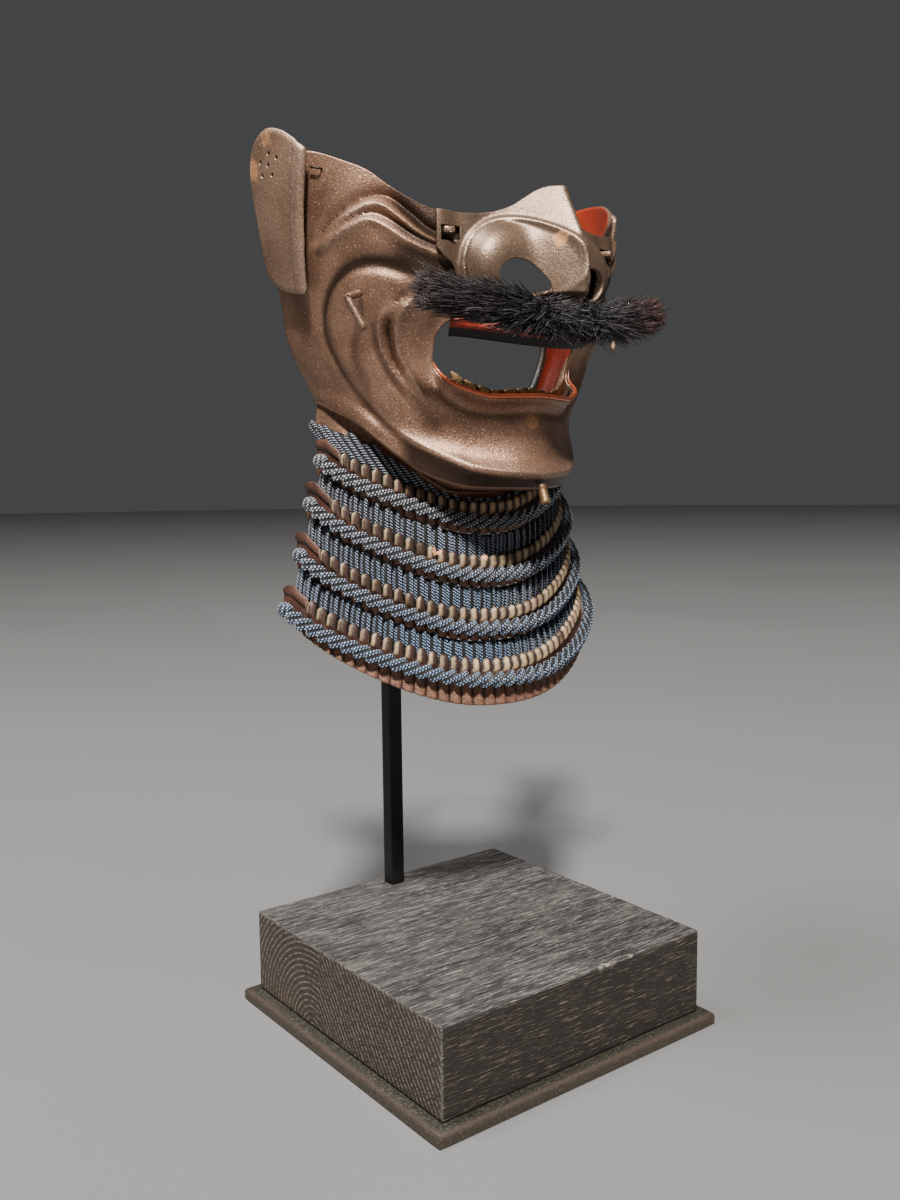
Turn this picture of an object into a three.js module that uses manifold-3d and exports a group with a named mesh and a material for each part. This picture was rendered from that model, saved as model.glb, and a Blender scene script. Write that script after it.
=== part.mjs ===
// Samurai face guard (menpo) with its laced throat guard (yodarekake), on a display stand.
//
// Millimetres, +Z up. The origin is the centre of the underside of the stand's base, the mask looks
// along -Y, and its left and right halves mirror each other in X = 0. Every thin part is a closed shell
// with its real wall. The mask is drawn on a chart: an angle in degrees round an upright axis (0 at the
// front, 90 at the wearer's ears) and a height. Tables give the plan at a few levels; folds and edges are
// short lists of chart points joined by smooth curves.
import * as THREE from 'three';
import { mergeVertices } from 'three/addons/utils/BufferGeometryUtils.js';
import Module from 'manifold-3d';

// ---------------------------------------------------------------- driving dimensions
const GAP = 0.35;            // clearance between neighbouring pieces
const FACE_CENTRE_Y = 32;    // axis of the face chart
const MM_PER_DEGREE = 1.42;  // chart scale: arc length of a degree on the face
const FACE_WALL = 2.0;       // iron with its lacquer, inside and out
const NOSE_WALL = 1.8;
const NOSE_LIFT = 0.45;      // the nose piece lies this far outside the face
const TAB_LIFT = 2.4;        // its side tabs step over the cheek folds
const PLATE_WALL = 2.0;      // ear plates

const STAND = {
  blockSide: 150, blockHeight: 39.4, plinthOutset: 6, plinthHeight: 5.8, plinthBevel: 1.6,
  postSide: 7.6, postY: 66, postTop: 322, barRadius: 1.6, prongTop: 330, prongFoot: 296,
};
// The holder's bar, from its foot behind the post round to a prong inside each cheek.
const HOLDER = {
  clear: 0.9, prongAngle: 86, footHalfWidth: 12, footRise: 4,
  bends: [{ across: 56, y: 37, rise: -3 }, { across: 40, beforeFoot: 1, rise: 2 }],
};

// Plan of the face at ten levels. Heights are given at the front and at the side; between them a level
// climbs as LEVEL_CLIMB says. Each level is a half oval: its half width, its reach forward of the axis, and
// how full its shoulders are (2 is an ellipse, less is more pointed).
const FACE_LEVELS = [
  { name: 'jaw edge', front: 252, side: 291.5, halfWidth: 62, reach: 72.4, fullness: 1.96 },
  { name: 'keel', front: 258, side: 295, halfWidth: 64, reach: 77.8, fullness: 1.71 },
  { name: 'above keel', front: 265, side: 298.5, halfWidth: 65.6, reach: 77.1, fullness: 1.55 },
  { name: 'chin hollow', front: 276, side: 302, halfWidth: 67.9, reach: 76, fullness: 1.6 },
  { name: 'lower lip', front: 291, side: 309, halfWidth: 71.6, reach: 77.5, fullness: 1.7 },
  { name: 'mouth', front: 307, side: 317, halfWidth: 74.8, reach: 77, fullness: 1.88 },
  { name: 'upper lip', front: 328, side: 331, halfWidth: 77, reach: 78.5, fullness: 2.5 },
  { name: 'cheekbone', front: 350, side: 350, halfWidth: 81.5, reach: 78.3, fullness: 2.7 },
  { name: 'under eye', front: 372, side: 372, halfWidth: 86, reach: 76.8, fullness: 2.5 },
  { name: 'ear', front: 402, side: 402, halfWidth: 89.6, reach: 74.8, fullness: 2.35 },
];
const LEVEL_CLIMB = {
  angle: [0, 20, 36, 46, 57, 66, 77, 90, 100],
  share: [0, 0.02, 0.165, 0.34, 0.57, 0.745, 0.875, 1, 1.03],
};
const FRONT_SOFTNESS = 0.1;  // rounds the nose of each half oval

// Edges of the face sheet, from the chin round to the nose gap: share of the way, and the mouth side's
// angle and height. The outer side is the jaw edge, the straight rear edge and the top edge.
const MOUTH_SIDE = {
  share: [0, 0.2, 0.35, 0.5, 0.65, 0.8, 0.9, 1],
  angle: [0, 15, 24, 31, 34, 33.5, 31.5, 24],
  height: [289.5, 289, 292, 298, 305, 312, 317.5, 324],
};
const JAW_CORNER_SHARE = 0.5;
const EAR_CORNER_SHARE = 0.8214;
// Rows of the face sheet follow the keel near the front, then spread evenly.
const KEEL_ROWS = { row: 8, evenShare: 0.75, followTo: 0.26, fadeOver: 0.14 };
const REAR_ANGLE = 90;
const REAR_TOP = 388;
const TOP_EDGE = [
  { angle: 90, height: 388 }, { angle: 80, height: 389.5 }, { angle: 67, height: 387 },
  { angle: 57, height: 381.5 }, { angle: 51, height: 377.5 }, { angle: 46, height: 372 },
  { angle: 40, height: 366.5 }, { angle: 33, height: 362.5 }, { angle: 22, height: 361.5 },
];

// The jaw line: the keel of the chin, which climbs round the cheek and closes over it. step is how far
// the inside stands out along it, reach how far in that swelling lasts, crispness how its slope begins
// (1 is a sharp edge), groove the furrow outside it.
const JAW_LINE = [
  { angle: 0, height: 257.8, step: 4.4, reach: 6, crispness: 1, groove: 0 },
  { angle: 12, height: 259, step: 4.4, reach: 6, crispness: 1, groove: 0 },
  { angle: 21, height: 261.5, step: 4.4, reach: 6.5, crispness: 1, groove: 0 },
  { angle: 29, height: 266, step: 4.2, reach: 7.5, crispness: 1.05, groove: 0 },
  { angle: 40, height: 272, step: 4, reach: 9, crispness: 1.15, groove: 0.2 },
  { angle: 49, height: 279, step: 3.6, reach: 10, crispness: 1.3, groove: 0.5 },
  { angle: 57, height: 288, step: 3, reach: 11, crispness: 1.5, groove: 0.9 },
  { angle: 64, height: 298, step: 2.4, reach: 11, crispness: 1.6, groove: 1.3 },
  { angle: 68, height: 309, step: 2, reach: 11, crispness: 1.6, groove: 1.5 },
  { angle: 69, height: 318, step: 1.7, reach: 11, crispness: 1.6, groove: 1.6 },
  { angle: 67, height: 327, step: 1.4, reach: 11, crispness: 1.6, groove: 1.8 },
  { angle: 62.5, height: 335, step: 1, reach: 11, crispness: 1.6, groove: 2 },
  { angle: 57, height: 340, step: 0.5, reach: 11, crispness: 1.6, groove: 2.2 },
  { angle: 51, height: 341, step: 0.2, reach: 11, crispness: 1.6, groove: 2.2 },
  { angle: 45, height: 339, step: 0, reach: 11, crispness: 1.6, groove: 1.6 },
  { angle: 38, height: 334, step: 0, reach: 11, crispness: 1.6, groove: 0 },
];
// Outside the jaw line the step falls away over outside mm, at the front and at the cheeks.
const JAW_FALL = { outside: [6, 3.6], fromAngle: 20, overAngle: 30, grooveAway: 1.5, grooveWidth: 4.2 };
// Folds: a rounded crest along a line, with a furrow beside it. share swells and fades it along the line.
const FOLDS = [
  {
    name: 'upper cheek fold', crest: 1.7, width: 2.3, furrow: 1.5, furrowSide: -4.4, furrowWidth: 2.2,
    line: [
      { angle: 68, height: 347, share: 0 }, { angle: 63, height: 353, share: 1 },
      { angle: 57, height: 359.5, share: 1 }, { angle: 51, height: 363.5, share: 1 },
      { angle: 47, height: 363.5, share: 1 }, { angle: 42, height: 358, share: 1 },
      { angle: 37, height: 352, share: 1 }, { angle: 31, height: 348, share: 0.7 },
      { angle: 27, height: 346, share: 0 },
    ],
  },
  {
    name: 'lower cheek fold', crest: 1.5, width: 2, furrow: 0.5, furrowSide: -3.4, furrowWidth: 1.6,
    line: [
      { angle: 67.5, height: 347.5, share: 0 }, { angle: 62, height: 351, share: 0.9 },
      { angle: 56, height: 355.5, share: 0.9 }, { angle: 50.5, height: 358, share: 0.9 },
      { angle: 46, height: 355, share: 0.9 }, { angle: 41, height: 350, share: 0.9 },
      { angle: 36, height: 346.5, share: 0.9 }, { angle: 31, height: 344, share: 0.7 },
      { angle: 27, height: 342, share: 0 },
    ],
  },
  {
    name: 'outer mouth fold', crest: 2.2, width: 3, furrow: 0, furrowSide: 4, furrowWidth: 2,
    line: [
      { angle: 42, height: 327.5, share: 0 }, { angle: 46, height: 324.5, share: 0.8 },
      { angle: 50, height: 319, share: 1 }, { angle: 50.5, height: 312, share: 1 },
      { angle: 48.5, height: 304, share: 1 }, { angle: 43.5, height: 295, share: 0.9 },
      { angle: 37.5, height: 286.5, share: 0 },
    ],
  },
  {
    name: 'inner mouth fold', crest: 2.2, width: 2.6, furrow: 1, furrowSide: 4.4, furrowWidth: 2.2,
    line: [
      { angle: 38, height: 328, share: 0 }, { angle: 41.5, height: 325, share: 0.8 },
      { angle: 44.5, height: 319, share: 1 }, { angle: 45, height: 309, share: 1 },
      { angle: 41.5, height: 299, share: 0.9 }, { angle: 34, height: 284, share: 0 },
    ],
  },
];
// The rim of the mouth, where the sheet dips at the corner and rolls out as the lower lip.
const MOUTH_RIM = [
  { angle: 0, height: 289.5 }, { angle: 16, height: 289 }, { angle: 24, height: 292 },
  { angle: 31, height: 298 }, { angle: 34, height: 305.5 }, { angle: 33.5, height: 313 },
  { angle: 31, height: 319 }, { angle: 27, height: 324 },
];
const MOUTH_DIP = {
  depth: 4.5, reach: 8, fromAngle: 20, overAngle: 14, fromHeight: 284, overHeight: 16,
};
const LIP_ROLL = {
  height: 3.4, width: 2.2, furrow: 1, furrowAway: 5.5, furrowWidth: 2.6,
  toAngle: 38, overAngle: 10, toHeight: 304, overHeight: 10,
};

// The floor under the jaw runs in to a neck ring, and the neck flange hangs from the ring.
const NECK = {
  halfWidth: 60.4, reach: 38.6, fullness: 2, drop: 1.2, flangeOut: 1.7, flangeFront: 5.5, flangeSide: 11,
  inset: [0.12, 0.6], turnDrop: 0.6, rows: 4,
};

// Nose piece: how far its ridge stands out and how wide the wedge under it is, by height.
const NOSE_RIDGE = {
  height: [318, 323, 326.5, 330, 340, 350, 360, 372, 376],
  out: [9.5, 11, 18.4, 31.3, 30.8, 29.7, 25.5, 20.2, 18.8],
};
const NOSE_WEDGE = {
  height: [318, 326, 332, 345, 358, 372, 376],
  halfWidth: [32, 31, 30, 30, 30, 30, 30],
  power: 1.55, crest: 0.8,
};
const NOSTRIL_DOME = {
  across: 18, height: 341.5, radius: 17.8, out: 13.5, power: 2.8, blend: 3,
  rim: 1.6, rimAt: 1.02, rimWidth: 0.07, rimFrom: 326, rimOver: 10,
};
// The nostril's outline about its centre: towards the ridge, and up.
const NOSTRIL_HOLE = {
  across: 15.3, height: 336.5,
  outline: [
    [-3.4, 6.6], [1.4, 5.6], [4.8, 2.2], [7.2, -1.8], [7.6, -5], [5.6, -7.4], [1, -8.6], [-5, -7],
    [-8.6, -3], [-9.4, 1], [-7.2, 4.8],
  ],
};
const NOSE_TOP = {
  angle: [0, 3, 5.5, 9, 12, 18, 26, 33],
  height: [373, 372.8, 371.5, 368, 365, 362.3, 361.3, 361.8],
};
const NOSE_SIDE = {
  height: [318, 322, 327, 336, 341, 344, 348, 365],
  angle: [30, 29.2, 28, 27.6, 28.6, 31.2, 33, 33],
};
const NOSE_FOOT = 321;
const TAB_STEP = { fromAngle: 27, overAngle: 5 };  // where the sides step out to TAB_LIFT
const TAB_SLOT = { angle: 29.3, height: 352.8, halfWidth: 3.9, halfHeight: 3 };
const TAB_PEG = { angle: 29.9, height: 353.6, halfWidth: 2.5, halfHeight: 1.5, out: 2.6, clear: 1.5 };

const UPPER_LIP = {
  top: 320.1, edgeFront: 313.4, edgeRise: 5, edgePower: 1.3, angle: 29.2,
  topOut: [2, 10], edgeOut: [0.5, 15],
  foldBack: 2.6, foldDown: 4.2, wall: 1.6,
};
const TEETH = { angle: 28, count: 12, height: 6.2, notch: 0.9, sink: 3, wall: 1.4, inset: 1.6, endRise: 0.8 };
const MOUSTACHE = {
  halfLength: 66, tipY: -53, middleY: -68, tipHeight: 328, middleHeight: 320, sweep: 1.5, locks: 6,
  share: [0, 0.28, 0.6, 0.85, 1], halfHeight: [5.6, 6.5, 6.8, 8, 7.4], halfDepth: [5.4, 5, 5.2, 5.6, 5.2],
  backing: { share: 0.95, size: 0.94 },
  lock: { turn: 0.3, start: 0.28, startStep: 0.1, away: [0.6, 0.9], thick: [3, 0.8] },
};

// Ear plates: the outline on the chart, in order round the plate.
const EAR_PLATE = [
  { angle: 66.4, height: 386.5 }, { angle: 71.6, height: 333.2 }, { angle: 75.5, height: 334.2 },
  { angle: 80, height: 336.2 }, { angle: 84.4, height: 339.8 }, { angle: 86.4, height: 344.6 },
  { angle: 86.2, height: 366 }, { angle: 86, height: 381 }, { angle: 84.6, height: 389 },
  { angle: 82, height: 393.8 }, { angle: 78, height: 396.4 }, { angle: 73.6, height: 395 },
  { angle: 69.8, height: 391.2 },
];
const EAR_CENTRE = { angle: 78, height: 368 };
const EAR_PLATE_LIFT = 2.5;
const EAR_PLATE_SETTLE = { right: 0, left: 6 };  // the left plate sits a little lower
const EAR_STEP = 0.1;        // extra clearance over the cheek for each mm it is lower
const EAR_BORDER = { halfWidth: 1.3, out: 1.3, sunk: 0.3, inset: 1.5, from: 0.02, to: 0.965 };
const EAR_HOLES = [
  { angle: 77.3, height: 387.6 }, { angle: 74.6, height: 385.2 }, { angle: 80.8, height: 385.2 },
  { angle: 77.9, height: 383.4 }, { angle: 80.5, height: 380 }, { angle: 76.7, height: 379.3 },
];
const CHEEK_HOLES = [{ angle: 63.4, height: 379.4 }, { angle: 60, height: 377.5 }];
const HOLE_RADIUS = 0.95;

const HOOK = {
  angle: 53.8, height: 331, out: 6, back: 4.2, sag: 2.4, drop: 13, lean: 7, tuck: 1.5,
  thick: 1.4, bend: [0.15, 0.12],
};
const WIRE = { inside: 2.6, out: 2.2, turn: 0.7, along: 4.6, rise: 1.2, radius: 0.5 };
const DRAIN = {
  x: 3.5, y: -45.8, top: 253.4, lean: 19, length: 8.5, radius: 2, bore: 1, lip: 0.4,
  lipShare: [0.8, 0.85],
};

// Throat guard. Each lame hangs on half an oval about its own axis. Heights are those of the tops of its
// heads, at the front and at the ends; climb is the power with which it rises to the ends.
const GUARD_AXIS_Y = 20;
const LAMES = [
  {
    halfWidth: 61.2, reach: 31.6, fullness: 1.9, front: 246, end: 273.6, climb: 2.4,
    fallFront: 15, fallEnd: 21, flare: 0.6,
  },
  {
    halfWidth: 66.9, reach: 35.3, fullness: 1.85, front: 222.3, end: 255.2, climb: 2.6,
    fallFront: 15, fallEnd: 21, flare: 0.6,
  },
  {
    halfWidth: 72.6, reach: 39, fullness: 1.78, front: 198.8, end: 233.2, climb: 2.65,
    fallFront: 15, fallEnd: 20.5, flare: 0.6,
  },
  {
    halfWidth: 78.6, reach: 43.8, fullness: 1.72, front: 176.8, end: 210.2, climb: 2.5,
    fallFront: 20.5, fallEnd: 14, flare: 4.6,
  },
];
const FALL_POWER = 3.5;      // how late the fall of a lame changes from its front to its ends
const END_ANGLE = 97;        // beyond 90 a lame runs straight back
const END_MM_PER_DEGREE = 1.3;
const END_CLIMB = 0.2;       // mm of height per degree there
const LAME = {
  wall: 1.3, headPitch: 5.1, headOut: 1.8, headRise: 1.5, ribKept: 0.15, plainEnd: 17, endRound: 8,
  plainRoll: 0.5, cornerDrop: 0.6,
};
const ROPE = {
  halfDepth: 2.4, halfHeight: 3.6, strand: 0.3, pitch: 14, columns: 29,
  below: 8.6, endAngle: 90.5, stand: 2.05, flareShare: 0.1,
  knobRadius: 3.6, knobDepth: 3.1,
};
const LACE = {
  wall: 1.1, tuck: 4, start: 13.6, over: 1.5, behind: 1, end: 92.5,
  neckFront: 3.4, neckSide: 8.2, neckClear: 0.4,
};

// ---------------------------------------------------------------- small helpers
const radians = THREE.MathUtils.degToRad;
const mix = THREE.MathUtils.lerp;
const clamp = THREE.MathUtils.clamp;
const ease = (x) => THREE.MathUtils.smoothstep(x, 0, 1);
const bell = (x) => Math.exp(-x * x);
const times = (count, make) => Array.from({ length: count }, (_, i) => make(i));

// A curve through (x, y) pairs that never overshoots them (monotone cubic).
function smoothCurve(x, y) {
  const step = x.slice(1).map((value, i) => value - x[i]);
  const rate = step.map((width, i) => (y[i + 1] - y[i]) / width);
  const slope = y.map((_, i) => {
    if (i === 0) return rate[0];
    if (i === y.length - 1) return rate.at(-1);
    if (rate[i - 1] * rate[i] <= 0) return 0;
    const before = 2 * step[i] + step[i - 1];
    const after = step[i] + 2 * step[i - 1];
    return (before + after) / (before / rate[i - 1] + after / rate[i]);
  });
  return (value) => {
    const at = clamp(value, x[0], x.at(-1));
    let i = x.findLastIndex((start) => start <= at);
    i = Math.min(Math.max(i, 0), x.length - 2);
    return hermite((at - x[i]) / step[i], step[i], y[i], y[i + 1], slope[i], slope[i + 1]);
  };
}

// Cubic between two values with given slopes, at share t of a span.
function hermite(t, span, a, b, slopeA, slopeB) {
  const t2 = t * t;
  const t3 = t2 * t;
  return (2 * t3 - 3 * t2 + 1) * a + (t3 - 2 * t2 + t) * span * slopeA
    + (3 * t2 - 2 * t3) * b + (t3 - t2) * span * slopeB;
}

// Catmull-Rom line through rows that share the same named columns, a few samples a span.
function smoothLine(rows, samples = 5) {
  const names = Object.keys(rows[0]).filter((name) => typeof rows[0][name] === 'number');
  const row = (i) => rows[clamp(i, 0, rows.length - 1)];
  const beyond = (i, name) => {
    if (i < 0) return 2 * row(0)[name] - row(1)[name];
    if (i >= rows.length) return 2 * row(i)[name] - row(rows.length - 2)[name];
    return row(i)[name];
  };
  const line = [];
  for (let i = 0; i < rows.length - 1; i += 1) {
    for (let k = 0; k < samples; k += 1) {
      const t = k / samples;
      line.push(Object.fromEntries(names.map((name) => {
        const [a, b, c, d] = [-1, 0, 1, 2].map((shift) => beyond(i + shift, name));
        return [name, 0.5 * (2 * b + (c - a) * t + (2 * a - 5 * b + 4 * c - d) * t * t
          + (3 * b - a - 3 * c + d) * t ** 3)];
      })));
    }
  }
  line.push({ ...rows.at(-1) });
  return line;
}

// Nearest place on a chart line: signed distance in mm (positive on the left of its run) and its columns.
function nearestOn(line, angle, height) {
  let best = { distance: Infinity };
  for (let k = 0; k < line.length - 1; k += 1) {
    const a = line[k];
    const b = line[k + 1];
    const runX = (b.angle - a.angle) * MM_PER_DEGREE;
    const runZ = b.height - a.height;
    const x = (angle - a.angle) * MM_PER_DEGREE;
    const z = height - a.height;
    const t = clamp((x * runX + z * runZ) / (runX * runX + runZ * runZ), 0, 1);
    const distance = Math.hypot(x - t * runX, z - t * runZ);
    if (distance < Math.abs(best.distance)) {
      const side = runX * z - runZ * x < 0 ? -1 : 1;
      best = { distance: side * distance, a, b, t };
    }
  }
  best.value = (name) => mix(best.a[name], best.b[name], best.t);
  return best;
}

// ---------------------------------------------------------------- closed solids from sheets
// A sheet of quads (counter-clockwise seen from outside) becomes a closed wall: the inner skin lies a
// wall's thickness behind it along the sheet's own normals, and every free edge is closed.
function wallFromSheet(points, quads, wall) {
  const normals = points.map(() => new THREE.Vector3());
  for (const [a, b, c, d] of quads) {
    const normal = points[c].clone().sub(points[a]).cross(points[d].clone().sub(points[b])).normalize();
    for (const i of [a, b, c, d]) normals[i].add(normal);
  }
  const inner = points.map((point, i) => point.clone().addScaledVector(normals[i].normalize(), -wall));
  const count = points.length;
  const triangles = [];
  const edges = new Map();
  const quad = (a, b, c, d) => triangles.push([a, b, c], [a, c, d]);
  for (const [a, b, c, d] of quads) {
    quad(a, b, c, d);
    quad(d + count, c + count, b + count, a + count);
    for (const [from, to] of [[a, b], [b, c], [c, d], [d, a]]) {
      if (!edges.delete(`${to},${from}`)) edges.set(`${from},${to}`, [from, to]);
    }
  }
  for (const [from, to] of edges.values()) quad(to, from, from + count, to + count);
  return solid([...points, ...inner], triangles);
}

// Triangles that close a solid, turned to face outwards if they were listed the other way round.
function solid(points, listed) {
  const volume = listed.reduce(
    (sum, [a, b, c]) => sum + points[a].dot(points[b].clone().cross(points[c])),
    0,
  );
  const triangles = volume < 0 ? listed.map(([a, b, c]) => [a, c, b]) : listed;
  const geometry = new THREE.BufferGeometry();
  const numbers = points.flatMap((point) => point.toArray());
  geometry.setAttribute('position', new THREE.Float32BufferAttribute(numbers, 3));
  geometry.setIndex(triangles.flat());
  return geometry;
}

// Quads of a grid of columns by rows: columns run to the right and rows run down, seen from outside.
function gridQuads(columns, rows, at = (i, j) => i * rows + j) {
  const quads = [];
  for (let i = 0; i < columns - 1; i += 1) {
    for (let j = 0; j < rows - 1; j += 1) {
      quads.push([at(i, j), at(i, j + 1), at(i + 1, j + 1), at(i + 1, j)]);
    }
  }
  return quads;
}

function wallFromGrid(columns, rows, place, wall) {
  const at = (i, j) => place(i / (columns - 1), j / (rows - 1), i, j);
  const points = times(columns, (i) => times(rows, (j) => at(i, j))).flat();
  return wallFromSheet(points, gridQuads(columns, rows), wall);
}

// A closed tube: the same ring of points carried along a path, with flat ends.
function tube(rings) {
  const sides = rings[0].length;
  const points = rings.flat();
  const triangles = [];
  for (let i = 0; i < rings.length - 1; i += 1) {
    for (let j = 0; j < sides; j += 1) {
      const a = i * sides + j;
      const b = i * sides + ((j + 1) % sides);
      triangles.push([a, b, b + sides], [a, b + sides, a + sides]);
    }
  }
  const last = (rings.length - 1) * sides;
  for (let j = 1; j < sides - 1; j += 1) {
    triangles.push([0, j + 1, j], [last, last + j, last + j + 1]);
  }
  return solid(points, triangles);
}

// Rings round a path: section(t) gives the radius at an angle round it, for share t of the path.
function tubeAlong(path, sides, section) {
  const rings = path.map((point, i) => {
    const before = path[Math.max(i - 1, 0)];
    const after = path[Math.min(i + 1, path.length - 1)];
    const along = after.clone().sub(before).normalize();
    const side = new THREE.Vector3(0, 0, 1).cross(along);
    if (side.length() < 0.05) side.set(0, 1, 0);
    side.normalize();
    const up = along.clone().cross(side);
    const t = i / (path.length - 1);
    return times(sides, (j) => {
      const turn = (2 * Math.PI * j) / sides;
      const { across, rise } = section(t, turn, i);
      return point.clone().addScaledVector(side, across).addScaledVector(up, rise);
    });
  });
  return tube(rings);
}

// ---------------------------------------------------------------- booleans
const wasm = await Module();
wasm.setup();

function toManifold(geometry) {
  const bare = geometry.clone();
  for (const name of ['normal', 'uv']) bare.deleteAttribute(name);
  const merged = mergeVertices(bare, 1e-5);
  return new wasm.Manifold(new wasm.Mesh({
    numProp: 3,
    vertProperties: new Float32Array(merged.attributes.position.array),
    triVerts: new Uint32Array(merged.index.array),
  }));
}

function fromManifold(body) {
  const mesh = body.getMesh();
  const geometry = new THREE.BufferGeometry();
  geometry.setAttribute('position', new THREE.BufferAttribute(new Float32Array(mesh.vertProperties), 3));
  geometry.setIndex(new THREE.BufferAttribute(new Uint32Array(mesh.triVerts), 1));
  return geometry;
}

const cutAway = (geometry, cutters) => fromManifold(
  cutters.reduce((body, cutter) => body.subtract(toManifold(cutter)), toManifold(geometry)),
);
const joined = (geometries) => fromManifold(
  geometries.slice(1).reduce((body, next) => body.add(toManifold(next)), toManifold(geometries[0])),
);

// ---------------------------------------------------------------- the face chart
const levelClimb = smoothCurve(LEVEL_CLIMB.angle, LEVEL_CLIMB.share);

// Radius of a half oval at an angle from the front, with a softened nose.
function ovalRadius(angle, { halfWidth, reach, fullness }, softness = 0) {
  const forward = Math.abs(Math.cos(radians(angle)));
  const sideways = Math.hypot(Math.sin(radians(angle)), softness * forward);
  const keep = (1 - (softness * reach / halfWidth) ** fullness) ** (1 / fullness);
  return ((sideways / halfWidth) ** fullness + (forward * keep / reach) ** fullness) ** (-1 / fullness);
}

function baseRadius(angle, height) {
  const climb = levelClimb(Math.abs(angle));
  const heights = FACE_LEVELS.map((level) => mix(level.front, level.side, climb));
  const radii = FACE_LEVELS.map((level) => ovalRadius(angle, level, FRONT_SOFTNESS));
  const spans = heights.slice(1).map((value, i) => value - heights[i]);
  const rates = spans.map((span, i) => (radii[i + 1] - radii[i]) / span);
  const slope = (i) => {
    if (i === 0) return rates[0];
    if (i === radii.length - 1) return rates.at(-1);
    return (rates[i - 1] * spans[i] + rates[i] * spans[i - 1]) / (spans[i] + spans[i - 1]);
  };
  const found = heights.findLastIndex((value) => value <= height);
  const i = clamp(found, 0, heights.length - 2);
  const t = clamp((height - heights[i]) / spans[i], -0.5, 1.5);
  return hermite(t, spans[i], radii[i], radii[i + 1], slope(i), slope(i + 1));
}

const jawLine = smoothLine(JAW_LINE);
const mouthRim = smoothLine(MOUTH_RIM);
const foldLines = FOLDS.map((fold) => ({ ...fold, line: smoothLine(fold.line) }));

// Everything hammered into the sheet: jaw line, cheek and mouth folds, mouth corner and lip.
function relief(signedAngle, height) {
  const angle = Math.abs(signedAngle);
  const jaw = nearestOn(jawLine, angle, height);
  const fall = mix(...JAW_FALL.outside, ease((angle - JAW_FALL.fromAngle) / JAW_FALL.overAngle));
  const swelling = jaw.distance < 0
    ? bell(jaw.distance / fall)
    : Math.exp(-((jaw.distance / jaw.value('reach')) ** jaw.value('crispness')));
  const groove = bell((jaw.distance + JAW_FALL.grooveAway) / JAW_FALL.grooveWidth);
  let out = jaw.value('step') * swelling - jaw.value('groove') * groove;
  for (const fold of foldLines) {
    const { distance, value } = nearestOn(fold.line, angle, height);
    out += value('share') * (fold.crest * bell(distance / fold.width)
      - fold.furrow * bell((distance - fold.furrowSide) / fold.furrowWidth));
  }
  const rim = Math.abs(nearestOn(mouthRim, angle, height).distance);
  const corner = ease((angle - MOUTH_DIP.fromAngle) / MOUTH_DIP.overAngle)
    * ease((height - MOUTH_DIP.fromHeight) / MOUTH_DIP.overHeight);
  const lip = ease((LIP_ROLL.toAngle - angle) / LIP_ROLL.overAngle)
    * ease((LIP_ROLL.toHeight - height) / LIP_ROLL.overHeight);
  out -= MOUTH_DIP.depth * corner * bell(rim / MOUTH_DIP.reach);
  out += lip * (LIP_ROLL.height * bell(rim / LIP_ROLL.width)
    - LIP_ROLL.furrow * bell((rim - LIP_ROLL.furrowAway) / LIP_ROLL.furrowWidth));
  return out;
}

function polar(angle, radius, height, axisY) {
  const turn = radians(angle);
  return new THREE.Vector3(radius * Math.sin(turn), axisY - radius * Math.cos(turn), height);
}
const onFace = (angle, height, out = 0) => polar(
  angle, baseRadius(angle, height) + relief(angle, height) + out, height, FACE_CENTRE_Y,
);
const onBase = (angle, height, out = 0) => polar(
  angle, baseRadius(angle, height) + out, height, FACE_CENTRE_Y,
);
// Direction straight out of the chart at an angle.
const outward = (angle) => new THREE.Vector3(Math.sin(radians(angle)), -Math.cos(radians(angle)), 0);

// A straight prism through the wall at a chart place, for holes and slots.
function punch(angle, radius, height, outline, inDepth, outDepth) {
  const out = outward(angle);
  const side = new THREE.Vector3(-out.y, out.x, 0);
  const centre = polar(angle, radius, height, FACE_CENTRE_Y);
  const ring = (depth) => outline.map(([across, rise]) => centre.clone()
    .addScaledVector(side, across).addScaledVector(out, depth).add(new THREE.Vector3(0, 0, rise)));
  return tube([ring(outDepth), ring(-inDepth)]);
}
const round = (halfWidth, halfHeight, sides) => times(sides, (i) => {
  const turn = (2 * Math.PI * i) / sides;
  return [halfWidth * Math.cos(turn), halfHeight * Math.sin(turn)];
});
const rectangle = (halfWidth, halfHeight) => [
  [-halfWidth, -halfHeight], [halfWidth, -halfHeight], [halfWidth, halfHeight], [-halfWidth, halfHeight],
];

// ---------------------------------------------------------------- mask body
const mouthAngle = smoothCurve(MOUTH_SIDE.share, MOUTH_SIDE.angle);
const mouthHeight = smoothCurve(MOUTH_SIDE.share, MOUTH_SIDE.height);
const jawEdgeHeight = (angle) => mix(FACE_LEVELS[0].front, FACE_LEVELS[0].side, levelClimb(Math.abs(angle)));
const topEdge = smoothLine(TOP_EDGE, 6);

function outerEdge(share) {
  if (share <= JAW_CORNER_SHARE) {
    const angle = (REAR_ANGLE * share) / JAW_CORNER_SHARE;
    return { angle, height: jawEdgeHeight(angle) };
  }
  if (share <= EAR_CORNER_SHARE) {
    const t = (share - JAW_CORNER_SHARE) / (EAR_CORNER_SHARE - JAW_CORNER_SHARE);
    return { angle: REAR_ANGLE, height: mix(FACE_LEVELS[0].side, REAR_TOP, t) };
  }
  const place = ((share - EAR_CORNER_SHARE) / (1 - EAR_CORNER_SHARE)) * (topEdge.length - 1);
  const i = Math.min(Math.floor(place), topEdge.length - 2);
  return {
    angle: mix(topEdge[i].angle, topEdge[i + 1].angle, place - i),
    height: mix(topEdge[i].height, topEdge[i + 1].height, place - i),
  };
}

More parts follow.
